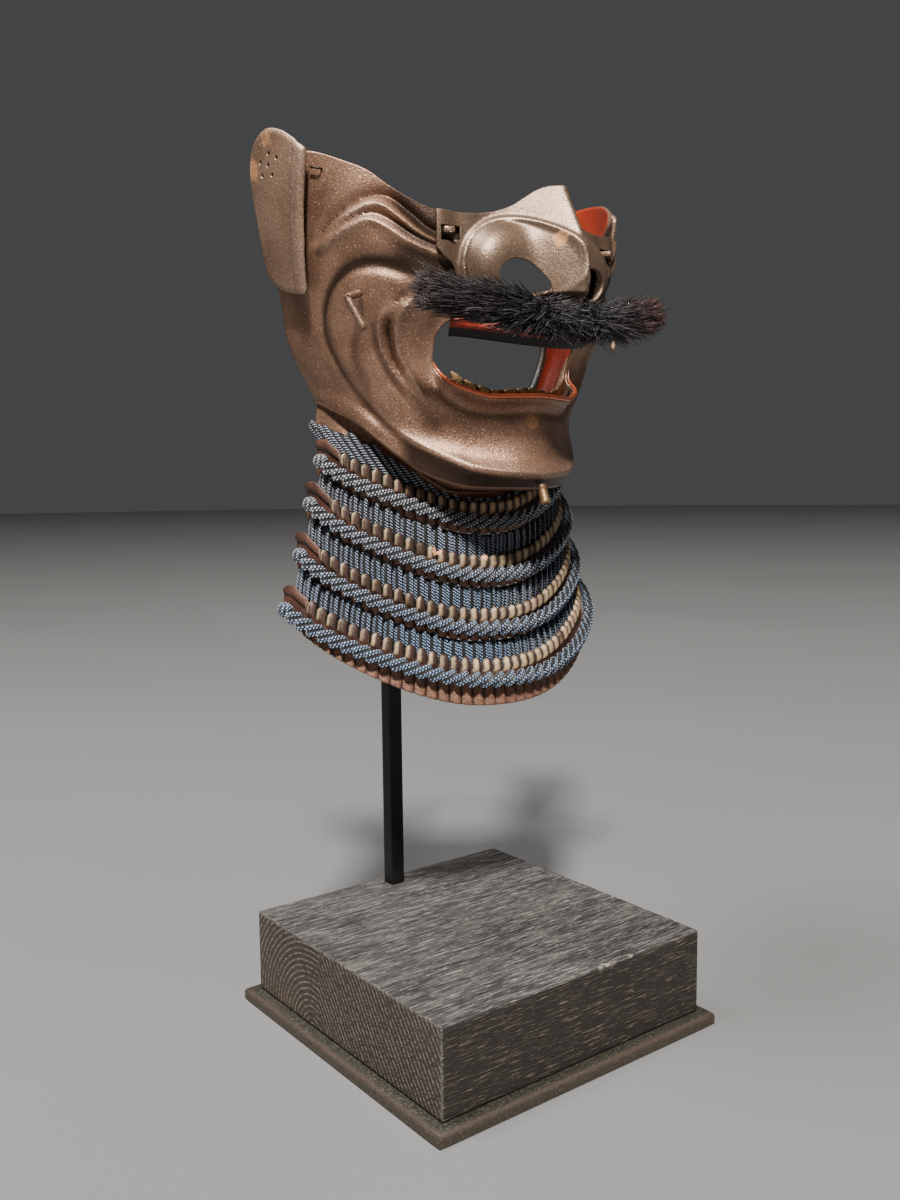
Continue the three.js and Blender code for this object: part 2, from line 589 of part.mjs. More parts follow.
// Share of the way from the mouth to the jaw edge at which the keel is met, near the front.
function keelShare(share) {
  const outer = outerEdge(share);
  const inner = { angle: mouthAngle(share), height: mouthHeight(share) };
  let [low, high] = [0, 1];
  for (let step = 0; step < 20; step += 1) {
    const w = (low + high) / 2;
    const angle = mix(inner.angle, outer.angle, w);
    const height = mix(inner.height, outer.height, w);
    if (nearestOn(jawLine, angle, height).distance > 0) low = w; else high = w;
  }
  return mix(low, KEEL_ROWS.evenShare, ease((share - KEEL_ROWS.followTo) / KEEL_ROWS.fadeOver));
}

function maskBody() {
  const columns = 49;
  const rows = 12;
  const points = [];
  const faceAt = (i, j) => i * rows + j;
  for (let i = 0; i < columns; i += 1) {
    const along = -1 + (2 * i) / (columns - 1);
    const share = Math.abs(along);
    const side = Math.sign(along) || 1;
    const outer = outerEdge(share);
    const keel = keelShare(share);
    for (let j = 0; j < rows; j += 1) {
      const past = Math.max(0, j - KEEL_ROWS.row) / (rows - 1 - KEEL_ROWS.row);
      const w = mix(keel * Math.min(1, j / KEEL_ROWS.row), 1, past);
      const angle = mix(mouthAngle(share), outer.angle, w);
      points.push(onFace(side * angle, mix(mouthHeight(share), outer.height, w)));
    }
  }
  const quads = gridQuads(columns, rows, faceAt);
  // Floor under the jaw and the neck flange, from one jaw corner round to the other.
  const first = (columns - 1) * (1 - JAW_CORNER_SHARE) / 2;
  const last = columns - 1 - first;
  const start = points.length;
  for (let i = first; i <= last; i += 1) {
    const share = Math.abs(-1 + (2 * i) / (columns - 1));
    const angle = (Math.sign(i - (columns - 1) / 2) || 1) * outerEdge(share).angle;
    const edgeRadius = baseRadius(angle, jawEdgeHeight(angle)) + relief(angle, jawEdgeHeight(angle));
    const ring = ovalRadius(angle, NECK);
    const height = jawEdgeHeight(angle) - NECK.drop;
    const fall = mix(NECK.flangeFront, NECK.flangeSide, levelClimb(Math.abs(angle)));
    const section = NECK.inset.map((share) => [mix(edgeRadius, ring, share), height]);
    section.push([ring, height - NECK.turnDrop], [ring + NECK.flangeOut, height - fall]);
    for (const [radius, z] of section) points.push(polar(angle, radius, z, FACE_CENTRE_Y));
  }
  const neckAt = (i, j) => (j === 0 ? faceAt(i + first, rows - 1) : start + i * NECK.rows + j - 1);
  quads.push(...gridQuads(last - first + 1, NECK.rows + 1, neckAt));
  const sheet = wallFromSheet(points, quads, FACE_WALL);
  const holes = [];
  for (const side of [-1, 1]) {
    for (const hole of CHEEK_HOLES) {
      holes.push(punch(side * hole.angle, baseRadius(hole.angle, hole.height), hole.height,
        round(HOLE_RADIUS, HOLE_RADIUS, 6), 5, 4));
    }
  }
  return cutAway(sheet, holes);
}

// ---------------------------------------------------------------- nose piece
const noseRidge = smoothCurve(NOSE_RIDGE.height, NOSE_RIDGE.out);
const noseWedge = smoothCurve(NOSE_WEDGE.height, NOSE_WEDGE.halfWidth);
const noseTop = smoothCurve(NOSE_TOP.angle, NOSE_TOP.height);
const noseSide = smoothCurve(NOSE_SIDE.height, NOSE_SIDE.angle);

// How far the nose stands out of the face's plan: a ridge with straight flanks, a dome for each nostril,
// and a fine raised arc round the dome.
function noseSwell(angle, height) {
  const across = baseRadius(angle, height) * Math.sin(radians(Math.abs(angle)));
  const flank = Math.max(0, 1 - Math.hypot(across, NOSE_WEDGE.crest) / noseWedge(height));
  const ridge = noseRidge(height) * flank ** NOSE_WEDGE.power;
  const { radius, blend, rimAt, rimWidth, rimFrom, rimOver } = NOSTRIL_DOME;
  const away = Math.hypot(across - NOSTRIL_DOME.across, height - NOSTRIL_DOME.height) / radius;
  const dome = NOSTRIL_DOME.out * Math.sqrt(Math.max(0, 1 - away ** NOSTRIL_DOME.power));
  const rim = NOSTRIL_DOME.rim * bell((away - rimAt) / rimWidth) * ease((height - rimFrom) / rimOver);
  return Math.max(0, blend * Math.log((Math.exp(ridge / blend) + Math.exp(dome / blend)) / 2)) + rim;
}
const noseLift = (angle) => mix(
  NOSE_LIFT, TAB_LIFT, ease((Math.abs(angle) - TAB_STEP.fromAngle) / TAB_STEP.overAngle),
);
const onNose = (angle, height, out = 0) => onBase(
  angle, height, NOSE_WALL + noseLift(angle) + noseSwell(angle, height) + out,
);

function nosePiece() {
  const place = (u, v) => {
    const side = mix(-1, 1, u);
    const height = mix(noseTop(Math.abs(side) * NOSE_TOP.angle.at(-1)), NOSE_FOOT, v);
    return onNose(side * noseSide(height), height);
  };
  const sheet = wallFromGrid(25, 12, place, NOSE_WALL);
  const cutters = [];
  for (const side of [-1, 1]) {
    const nostril = side * THREE.MathUtils.radToDeg(Math.asin(
      NOSTRIL_HOLE.across / baseRadius(12, NOSTRIL_HOLE.height)));
    cutters.push(punch(nostril, baseRadius(nostril, NOSTRIL_HOLE.height), NOSTRIL_HOLE.height,
      NOSTRIL_HOLE.outline.map(([inward, rise]) => [-side * inward, rise]), 12, 30));
    cutters.push(punch(side * TAB_SLOT.angle, baseRadius(TAB_SLOT.angle, TAB_SLOT.height), TAB_SLOT.height,
      rectangle(TAB_SLOT.halfWidth, TAB_SLOT.halfHeight), 6, 12));
  }
  return cutAway(sheet, cutters);
}

// Square-headed peg on the cheek, standing through the slot of the nose piece.
function nosePeg(side) {
  const radius = baseRadius(TAB_PEG.angle, TAB_PEG.height) + relief(TAB_PEG.angle, TAB_PEG.height);
  return punch(side * TAB_PEG.angle, radius, TAB_PEG.height,
    rectangle(TAB_PEG.halfWidth, TAB_PEG.halfHeight), -TAB_PEG.clear, TAB_LIFT + NOSE_WALL + TAB_PEG.out);
}

// ---------------------------------------------------------------- mouth
// The upper lip flares out to its edge, then steps back and hangs down inside it.
function upperLip() {
  const faceRows = 4;
  const place = (u, v, i, j) => {
    const side = mix(-1, 1, u);
    const middle = Math.cos((Math.PI / 2) * side);
    const angle = side * UPPER_LIP.angle;
    const edge = UPPER_LIP.edgeFront + UPPER_LIP.edgeRise * (1 - Math.max(middle, 0) ** UPPER_LIP.edgePower);
    const down = Math.min(j / (faceRows - 1), 1);
    const under = Math.max(j - faceRows + 1, 0) / 2;
    const out = mix(mix(...UPPER_LIP.topOut, middle), mix(...UPPER_LIP.edgeOut, middle), down);
    const height = mix(UPPER_LIP.top, edge, down) - UPPER_LIP.foldDown * under;
    return onBase(angle, height, out - UPPER_LIP.foldBack * under);
  };
  return wallFromGrid(17, faceRows + 2, place, UPPER_LIP.wall);
}

// One strip of gilt teeth behind the lower lip, its top edge notched between the teeth.
function lowerTeeth() {
  const columns = TEETH.count * 2 + 1;
  const place = (u, v, i) => {
    const angle = mix(-TEETH.angle, TEETH.angle, u);
    const share = Math.abs(angle) / TEETH.angle;
    const lip = mouthHeight(0.5 * share);
    const rise = TEETH.height * mix(1, TEETH.endRise, share) - (i % 2 === 0 ? TEETH.notch : 0);
    return onBase(angle, lip - TEETH.sink + mix(rise, 0, v), -FACE_WALL - GAP - TEETH.inset);
  };
  return wallFromGrid(columns, 2, place, TEETH.wall);
}

// The brush: a backing that swells to both ends, with tapered locks lying along it that fan out there.
function moustache() {
  const { share, halfLength, tipY, middleY, tipHeight, middleHeight } = MOUSTACHE;
  const halfHeight = smoothCurve(share, MOUSTACHE.halfHeight);
  const halfDepth = smoothCurve(share, MOUSTACHE.halfDepth);
  const spine = (t) => new THREE.Vector3(
    t * halfLength,
    mix(middleY, tipY, t * t),
    mix(middleHeight, tipHeight, Math.abs(t) ** MOUSTACHE.sweep),
  );
  const { backing, lock } = MOUSTACHE;
  const backingPath = times(11, (i) => spine(mix(-backing.share, backing.share, i / 10)));
  const core = tubeAlong(backingPath, 7, (t, turn) => {
    const place = Math.abs(2 * t - 1);
    return {
      across: backing.size * halfDepth(place) * Math.cos(turn),
      rise: backing.size * halfHeight(place) * Math.sin(turn),
    };
  });
  const locks = [];
  for (const side of [-1, 1]) {
    for (let k = 0; k < MOUSTACHE.locks; k += 1) {
      const turn = (k * 2 * Math.PI) / MOUSTACHE.locks + lock.turn;
      const start = lock.start + lock.startStep * (k % 3);
      const path = times(3, (i) => {
        const place = mix(start, 1, i / 2);
        const back = -halfDepth(place) * Math.cos(turn);
        const offset = new THREE.Vector3(0, back, halfHeight(place) * Math.sin(turn));
        return spine(side * place).addScaledVector(offset, mix(...lock.away, i / 2));
      });
      locks.push(tubeAlong(path, 4, (t, around) => {
        const thick = mix(...lock.thick, t * t);
        return { across: thick * Math.cos(around), rise: thick * Math.sin(around) };
      }));
    }
  }
  return joined([core, ...locks]);
}

// ---------------------------------------------------------------- ear plates, hooks, drain
// The plate is a flat outline bent onto the chart, with a raised border down its front edge.
function earPlate(side, settle) {
  const lowered = (row) => ({ angle: row.angle, height: row.height - settle });
  const outline = EAR_PLATE.map(lowered);
  const centre = lowered(EAR_CENTRE);
  const lift = EAR_PLATE_LIFT + settle * EAR_STEP;
  const place = (row, share, out) => onFace(
    side * mix(centre.angle, row.angle, share), mix(centre.height, row.height, share), lift + out,
  );
  const count = outline.length;
  const shares = [0.5, 1];
  const points = [];
  for (const out of [PLATE_WALL, 0]) {
    points.push(onFace(side * centre.angle, centre.height, lift + out));
    for (const share of shares) for (const row of outline) points.push(place(row, share, out));
  }
  const skin = 1 + shares.length * count;
  const triangles = [];
  const at = (layer, ring, i) => layer * skin + 1 + ring * count + (i % count);
  for (let i = 0; i < count; i += 1) {
    const outer = [[0, at(0, 0, i), at(0, 0, i + 1)],
      [at(0, 0, i), at(0, 1, i), at(0, 1, i + 1)], [at(0, 0, i), at(0, 1, i + 1), at(0, 0, i + 1)]];
    triangles.push(...outer, ...outer.map(([a, b, c]) => [a + skin, c + skin, b + skin]));
    triangles.push([at(0, 1, i), at(1, 1, i), at(1, 1, i + 1)]);
    triangles.push([at(0, 1, i), at(1, 1, i + 1), at(0, 1, i + 1)]);
  }
  const plate = solid(points, triangles);
  const [upper, lower] = outline;
  const border = tubeAlong(times(8, (i) => {
    const t = mix(EAR_BORDER.from, EAR_BORDER.to, i / 7);
    const angle = side * (mix(upper.angle, lower.angle, t) + EAR_BORDER.inset);
    return onFace(angle, mix(upper.height, lower.height, t), lift + PLATE_WALL - EAR_BORDER.sunk);
  }), 5, (t, turn) => ({
    across: EAR_BORDER.out * Math.cos(turn),
    rise: EAR_BORDER.halfWidth * Math.sin(turn),
  }));
  const holes = EAR_HOLES.map(lowered).map(({ angle, height }) => punch(
    side * angle, baseRadius(angle, height), height, round(HOLE_RADIUS, HOLE_RADIUS, 5), 1, 8,
  ));
  return cutAway(joined([plate, border]), holes);
}

// A bent strip: out of the cheek, then down and slightly in to a free end.
function cordHook(side) {
  const root = onFace(side * HOOK.angle, HOOK.height, GAP + HOOK.thick / 2);
  const out = outward(side * HOOK.angle);
  const back = new THREE.Vector3(-out.y, out.x, 0).multiplyScalar(side);
  const elbow = root.clone().addScaledVector(out, HOOK.out).addScaledVector(back, HOOK.back)
    .add(new THREE.Vector3(0, 0, -HOOK.sag));
  const tip = elbow.clone().addScaledVector(back, -HOOK.lean).addScaledVector(out, -HOOK.tuck)
    .add(new THREE.Vector3(0, 0, -HOOK.drop));
  const nearElbow = elbow.clone().lerp(root, HOOK.bend[0]);
  const past = elbow.clone().lerp(tip, HOOK.bend[1]);
  const path = [root, nearElbow, past, tip];
  return tubeAlong(path, 6, (t, turn) => ({
    across: HOOK.thick * Math.cos(turn), rise: HOOK.thick * Math.sin(turn),
  }));
}

// End of the wire that is knotted through the cheek's first hole.
function wireEnd(side) {
  const [hole] = CHEEK_HOLES;
  const out = outward(side * hole.angle);
  const back = new THREE.Vector3(-out.y, out.x, 0).multiplyScalar(side);
  const through = polar(side * hole.angle, baseRadius(hole.angle, hole.height), hole.height, FACE_CENTRE_Y);
  const path = [
    through.clone().addScaledVector(out, -WIRE.inside),
    through.clone().addScaledVector(out, WIRE.out * WIRE.turn),
    through.clone().addScaledVector(out, WIRE.out).addScaledVector(back, WIRE.turn),
    through.clone().addScaledVector(out, WIRE.out).addScaledVector(back, WIRE.along)
      .add(new THREE.Vector3(0, 0, WIRE.rise)),
  ];
  return tubeAlong(path, 5, (t, turn) => ({
    across: WIRE.radius * Math.cos(turn), rise: WIRE.radius * Math.sin(turn),
  }));
}

// Short sweat drain under the chin: a tube whose bore is open at both ends.
function sweatDrain() {
  const { radius, bore, length, top, x, y, lip, lean, lipShare } = DRAIN;
  const [lipTop, lipBottom] = lipShare.map((share) => -length * share);
  const profile = [
    [bore, 0], [radius, 0], [radius, lipTop], [radius + lip, lipBottom],
    [radius + lip / 2, -length], [bore, -length], [bore, 0],
  ].map(([r, z]) => new THREE.Vector2(r, z));
  const geometry = new THREE.LatheGeometry(profile.reverse(), 9);
  geometry.rotateX(Math.PI / 2);
  geometry.rotateX(radians(-lean));
  geometry.translate(x, y, top - GAP);
  return geometry;
}

// ---------------------------------------------------------------- throat guard
// Place on a lame: angle along it, drop below the tops of its heads, and distance out.
function lameHeight(lame, angle) {
  const size = Math.abs(angle);
  const climb = mix(lame.front, lame.end, (Math.min(size, 90) / 90) ** lame.climb);
  return climb + Math.max(0, size - 90) * END_CLIMB;
}
function lameFall(lame, angle) {
  return mix(lame.fallFront, lame.fallEnd, (Math.min(Math.abs(angle), 90) / 90) ** FALL_POWER);
}
function onLame(lame, angle, drop, out = 0) {
  const flare = lame.flare * clamp(drop / lame.fallFront, -0.2, 1.2);
  const plan = { ...lame, halfWidth: lame.halfWidth + flare, reach: lame.reach + flare };
  const bend = clamp(angle, -90, 90);
  const place = polar(bend, ovalRadius(bend, plan) + out, lameHeight(lame, angle) - drop, GUARD_AXIS_Y);
  place.y += Math.max(0, Math.abs(angle) - 90) * END_MM_PER_DEGREE;
  return place;
}
// Angles that step evenly along a lame, and the length of its run.
function lameAngles(lame, count, end = END_ANGLE) {
  const fine = times(361, (i) => mix(-end, end, i / 360));
  const run = [0];
  for (let i = 1; i < fine.length; i += 1) {
    run.push(run[i - 1] + onLame(lame, fine[i], 0).distanceTo(onLame(lame, fine[i - 1], 0)));
  }
  const length = run.at(-1);
  const angleAt = smoothCurve(run, fine);
  return { length, angles: times(count, (i) => angleAt((length * i) / (count - 1))) };
}

// A lame: its top edge is a row of raised heads between plain ends, and its corners are rounded.
function lamePlate(lame) {
  const { length } = lameAngles(lame, 2);
  const count = 2 * Math.round(length / LAME.headPitch) + 1;
  const { angles } = lameAngles(lame, count);
  const place = (u, v, i, j) => {
    const fromEnd = Math.min(u, 1 - u) * length;
    const plain = fromEnd < LAME.plainEnd;
    const crown = !plain && i % 2 === 1;
    const round = LAME.endRound * (1 - Math.sqrt(1 - Math.max(0, 1 - fromEnd / LAME.endRound) ** 2));
    const top = (crown || plain ? 0 : LAME.headRise) + round * LAME.cornerDrop;
    const drop = j === 0 ? top : lameFall(lame, angles[i]) - round;
    const crest = j === 0 ? 1 : LAME.ribKept;
    const roll = plain && j === 0 ? LAME.plainRoll : 0;
    return onLame(lame, angles[i], drop, LAME.wall + LAME.headOut * ((crown ? crest : 0) + roll));
  };
  return wallFromGrid(count, 2, place, LAME.wall);
}

// Two-strand rope laid under the heads, deeper than it is thick, with a round knob at each end.
function ropeRow(lame) {
  const { length, angles } = lameAngles(lame, ROPE.columns, ROPE.endAngle);
  const out = LAME.wall + ROPE.stand + ROPE.halfDepth + lame.flare * ROPE.flareShare;
  const path = angles.map((angle) => onLame(lame, angle, ROPE.below, out));
  const rope = tubeAlong(path, 5, (t, turn) => {
    const twist = (Math.PI * t * length) / ROPE.pitch;
    const strand = ROPE.strand * Math.cos(2 * (turn - twist));
    return {
      across: (ROPE.halfDepth + strand) * Math.cos(turn),
      rise: (ROPE.halfHeight + strand) * Math.sin(turn),
    };
  });
  const knobs = [path[0], path.at(-1)].map((centre) => new THREE.SphereGeometry(ROPE.knobRadius, 7, 5)
    .scale(ROPE.knobDepth / ROPE.knobRadius, 1, 1).translate(centre.x, centre.y, centre.z));
  return joined([rope, ...knobs]);
}

// Lacing: a band laid over the lower part of one edge that goes down behind the next lame's heads.
function laceBand(top, bottom) {
  return wallFromGrid(25, 2, (u, v) => {
    const angle = mix(-LACE.end, LACE.end, u);
    return top(angle).lerp(bottom(angle), v);
  }, LACE.wall);
}
function laceBelow(upper, lower) {
  const out = LAME.wall + LACE.over + LACE.wall;
  return laceBand(
    (angle) => onLame(upper, angle, LACE.start, out),
    (angle) => onLame(lower, angle, LACE.tuck, -LACE.behind),
  );
}
function neckLace() {
  const lame = LAMES[0];
  const top = (angle) => {
    const bend = clamp(angle, -90, 90);
    const below = mix(LACE.neckFront, LACE.neckSide, levelClimb(Math.abs(bend)));
    const height = jawEdgeHeight(bend) - NECK.drop - below;
    const radius = ovalRadius(bend, NECK) + NECK.flangeOut + LACE.behind + LACE.neckClear + LACE.wall;
    return polar(bend, radius, height, FACE_CENTRE_Y);
  };
  return laceBand(top, (angle) => onLame(lame, angle, LACE.tuck, -LACE.behind - LACE.neckClear));
}

// ---------------------------------------------------------------- stand
function standBlock() {
  const { blockSide, blockHeight, plinthHeight } = STAND;
  return new THREE.BoxGeometry(blockSide, blockSide, blockHeight)
    .translate(0, 0, plinthHeight + blockHeight / 2 + GAP);
}
function standPlinth() {
  const half = STAND.blockSide / 2 + STAND.plinthOutset;
  const { plinthHeight, plinthBevel } = STAND;
  const corners = [[-1, -1], [1, -1], [1, 1], [-1, 1]];
  const ring = (size, z) => corners.map(([x, y]) => new THREE.Vector3(x * size, y * size, z));
  const shoulder = plinthHeight - plinthBevel;
  return tube([ring(half, 0), ring(half, shoulder), ring(half - plinthBevel, plinthHeight)]);
}
function standPost() {
  const { postSide, postY, postTop } = STAND;
  const foot = STAND.plinthHeight + GAP + STAND.blockHeight + GAP;
  return new THREE.BoxGeometry(postSide, postSide, postTop - foot).translate(0, postY, (postTop + foot) / 2);
}
// The holder: a bar bent from a plate behind the post round to a prong inside each cheek.
function holder() {
  const { postY, postSide, barRadius, prongTop, prongFoot } = STAND;
  const inside = FACE_WALL + GAP + barRadius + HOLDER.clear;
  const front = postY - postSide / 2 - barRadius - GAP;
  const prong = (side, height) => onFace(side * HOLDER.prongAngle, height, -inside);
  const [cheekBend, backBend] = HOLDER.bends;
  const path = [];
  for (const side of [-1, 1]) {
    const half = [];
    half.push(prong(side, prongTop), prong(side, (prongTop + prongFoot) / 2), prong(side, prongFoot));
    half.push(new THREE.Vector3(side * cheekBend.across, cheekBend.y, prongFoot + cheekBend.rise));
    half.push(new THREE.Vector3(
      side * backBend.across, front - backBend.beforeFoot, prongFoot + backBend.rise,
    ));
    path.push(...(side < 0 ? half : half.reverse()));
  }
  const { footHalfWidth, footRise } = HOLDER;
  const foot = [-footHalfWidth, footHalfWidth].map((x) => new THREE.Vector3(x, front, prongFoot + footRise));
  path.splice(5, 0, ...foot);
  return tubeAlong(path, 6, (t, turn) => ({
    across: barRadius * Math.cos(turn),
    rise: barRadius * Math.sin(turn),
  }));
}

// ---------------------------------------------------------------- the assembly
const FINISHES = {
  russet: { color: 0x4a3428, roughness: 0.5, metalness: 0.35 },
  russetNose: { color: 0x554a42, roughness: 0.5, metalness: 0.35 },
  vermilion: { color: 0xa02a12, roughness: 0.25, metalness: 0 },
  gilt: { color: 0x8a6a32, roughness: 0.45, metalness: 0.6 },
  bristle: { color: 0x151012, roughness: 0.8, metalness: 0 },
  lace: { color: 0x2c3a55, roughness: 0.9, metalness: 0 },
  darkIron: { color: 0x2a2421, roughness: 0.55, metalness: 0.5 },
  oak: { color: 0x1f1d1b, roughness: 0.7, metalness: 0 },
  bronze: { color: 0x2b2418, roughness: 0.5, metalness: 0.3 },
  blackSteel: { color: 0x0c0c0d, roughness: 0.45, metalness: 0.6 },
};
const materials = Object.fromEntries(Object.entries(FINISHES)
  .map(([name, finish]) => [name, new THREE.MeshStandardMaterial(finish)]));

const assembly = new THREE.Group();
assembly.name = 'face_guard';
function add(name, geometry, finish) {
  const mesh = new THREE.Mesh(geometry, materials[finish]);
  mesh.name = name;
  assembly.add(mesh);
}

add('mask_body', maskBody(), 'russet');
add('nose_piece', nosePiece(), 'russetNose');
add('upper_lip', upperLip(), 'vermilion');
add('lower_teeth', lowerTeeth(), 'gilt');
add('moustache', moustache(), 'bristle');
for (const [side, hand] of [[-1, 'right'], [1, 'left']]) {
  add(`ear_plate_${hand}`, earPlate(side, EAR_PLATE_SETTLE[hand]), 'russet');
  add(`nose_peg_${hand}`, nosePeg(side), 'darkIron');
  add(`cord_hook_${hand}`, cordHook(side), 'darkIron');
}
add('wire_end_right', wireEnd(-1), 'darkIron');
add('sweat_drain', sweatDrain(), 'gilt');
add('neck_lace', neckLace(), 'lace');
LAMES.forEach((lame, i) => {
  add(`lame_${i + 1}`, lamePlate(lame), 'russet');
  add(`rope_row_${i + 1}`, ropeRow(lame), 'lace');
  if (i > 0) add(`lace_band_${i}`, laceBelow(LAMES[i - 1], lame), 'lace');
});
add('stand_block', standBlock(), 'oak');
add('stand_plinth', standPlinth(), 'bronze');
add('stand_post', standPost(), 'blackSteel');
add('holder', holder(), 'blackSteel');

export default assembly;
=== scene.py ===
# %% [markdown]
# # A samurai's laced face guard on its stand
# A menpo is an iron half mask: it covers the face from the nose down, and a laced throat guard hangs
# under it. This lesson dresses the solid model of one in Blender. The solids give every size and place.
# Here each piece is made again as a fine surface worked out with numpy, and gets a finish made of nodes.
# Lengths in the tables are millimetres, and become metres only when a mesh is made.

# %% Load the solid model
import math
import bpy
import numpy as np
from mathutils import Matrix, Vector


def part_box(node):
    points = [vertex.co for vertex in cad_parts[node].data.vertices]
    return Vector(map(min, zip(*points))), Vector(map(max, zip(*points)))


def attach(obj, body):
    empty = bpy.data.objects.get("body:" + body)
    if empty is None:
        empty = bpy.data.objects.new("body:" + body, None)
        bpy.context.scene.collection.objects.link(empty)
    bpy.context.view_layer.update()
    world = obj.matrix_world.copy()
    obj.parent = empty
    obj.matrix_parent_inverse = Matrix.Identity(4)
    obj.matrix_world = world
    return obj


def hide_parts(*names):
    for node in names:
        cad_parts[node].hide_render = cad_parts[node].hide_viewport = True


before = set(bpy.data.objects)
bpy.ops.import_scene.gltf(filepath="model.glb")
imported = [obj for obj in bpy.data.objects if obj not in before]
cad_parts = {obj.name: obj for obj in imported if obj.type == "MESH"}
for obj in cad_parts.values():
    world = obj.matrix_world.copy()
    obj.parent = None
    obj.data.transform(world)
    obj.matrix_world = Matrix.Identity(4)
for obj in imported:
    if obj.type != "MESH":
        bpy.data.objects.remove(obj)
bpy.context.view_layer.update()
MM = 0.001

# %% [markdown]
# ## Curves and grids
# Almost every piece below is a function of two numbers on a grid: where we are along the piece and where
# we are across it. So the first tools are a smooth curve through a short table, a smooth line through
# points, and a routine that turns a grid of places into a mesh.

# %% Small helpers for numbers and arrays
rng = np.random.default_rng(7)


def ease(x):
    """0 below 0, 1 above 1, and 3x^2 - 2x^3 between."""
    x = np.clip(x, 0, 1)
    return x * x * (3 - 2 * x)


def bell(x):
    """exp(-x^2): a soft bump one unit wide."""
    return np.exp(-x * x)


def mix(a, b, share):
    """a + (b - a) * share."""
    return a + (b - a) * share


def unit(v):
    """Each vector scaled to length one."""
    return v / np.linalg.norm(v, axis=-1, keepdims=True)


def circle(count):
    """That many angles, evenly once round."""
    return np.arange(count) * 2 * np.pi / count


def arch(x):
    """sqrt(1 - x^2), and 0 beyond 1: the height of a half circle of radius one."""
    return np.sqrt(np.maximum(0, 1 - x ** 2))


def run_along(points):
    """How far along a line each of its points lies."""
    return np.concatenate([[0], np.cumsum(np.linalg.norm(np.diff(points, axis=0), axis=1))])


print("half way, ease gives", ease(0.5), "and a bell", round(float(bell(0.5)), 3))

# %% Smooth curves through short tables
def hermite(t, span, a, b, slope_a, slope_b):
    """The cubic that leaves a with slope_a and reaches b with slope_b, at share t of a span."""
    return ((2 * t**3 - 3 * t**2 + 1) * a + (t**3 - 2 * t**2 + t) * span * slope_a
            + (3 * t**2 - 2 * t**3) * b + (t**3 - t**2) * span * slope_b)


def smooth_curve(x, y):
    """A cubic through (x, y) whose slope at each point is the weighted harmonic mean of its two sides'."""
    x, y = np.asarray(x, float), np.asarray(y, float)
    span = np.diff(x)
    rate = np.diff(y) / span
    slope = np.empty_like(y)
    slope[0], slope[-1] = rate[0], rate[-1]
    before, after = 2 * span[1:] + span[:-1], span[1:] + 2 * span[:-1]
    same = rate[:-1] * rate[1:] > 0
    safe_a, safe_b = np.where(same, rate[:-1], 1), np.where(same, rate[1:], 1)
    slope[1:-1] = np.where(same, (before + after) / (before / safe_a + after / safe_b), 0)

    def at(value):
        value = np.clip(value, x[0], x[-1])
        i = np.clip(np.searchsorted(x, value, side="right") - 1, 0, len(span) - 1)
        return hermite((value - x[i]) / span[i], span[i], y[i], y[i + 1], slope[i], slope[i + 1])
    return at


def smooth_line(rows, samples=8):
    """Catmull-Rom line through rows of numbers, with a few samples between each two rows."""
    rows = np.asarray(rows, float)
    padded = np.vstack([2 * rows[0] - rows[1], rows, 2 * rows[-1] - rows[-2]])
    t = (np.arange(samples) / samples)[None, :, None]
    a, b, c, d = (padded[i:len(padded) - 3 + i, None] for i in range(4))
    parts = 0.5 * (2 * b + (c - a) * t + (2 * a - 5 * b + 4 * c - d) * t**2 + (3 * b - a - 3 * c + d) * t**3)
    return np.vstack([parts.reshape(-1, rows.shape[1]), rows[-1:]])


print("a curve through 0, 1, 4 at 1.5 gives", round(float(smooth_curve([0, 1, 2], [0, 1, 4])(1.5)), 3))

# %% [markdown]
# ## A mesh from a grid
# Pieces differ only in where the places of their grids lie. So one class collects grids and makes the mesh
# at the end in a few calls with whole arrays, which is far quicker than adding faces one by one.

# %% From a grid of places to a mesh
WELDS_PER_MM = 1e4  # points that round to the same place on this scale become one


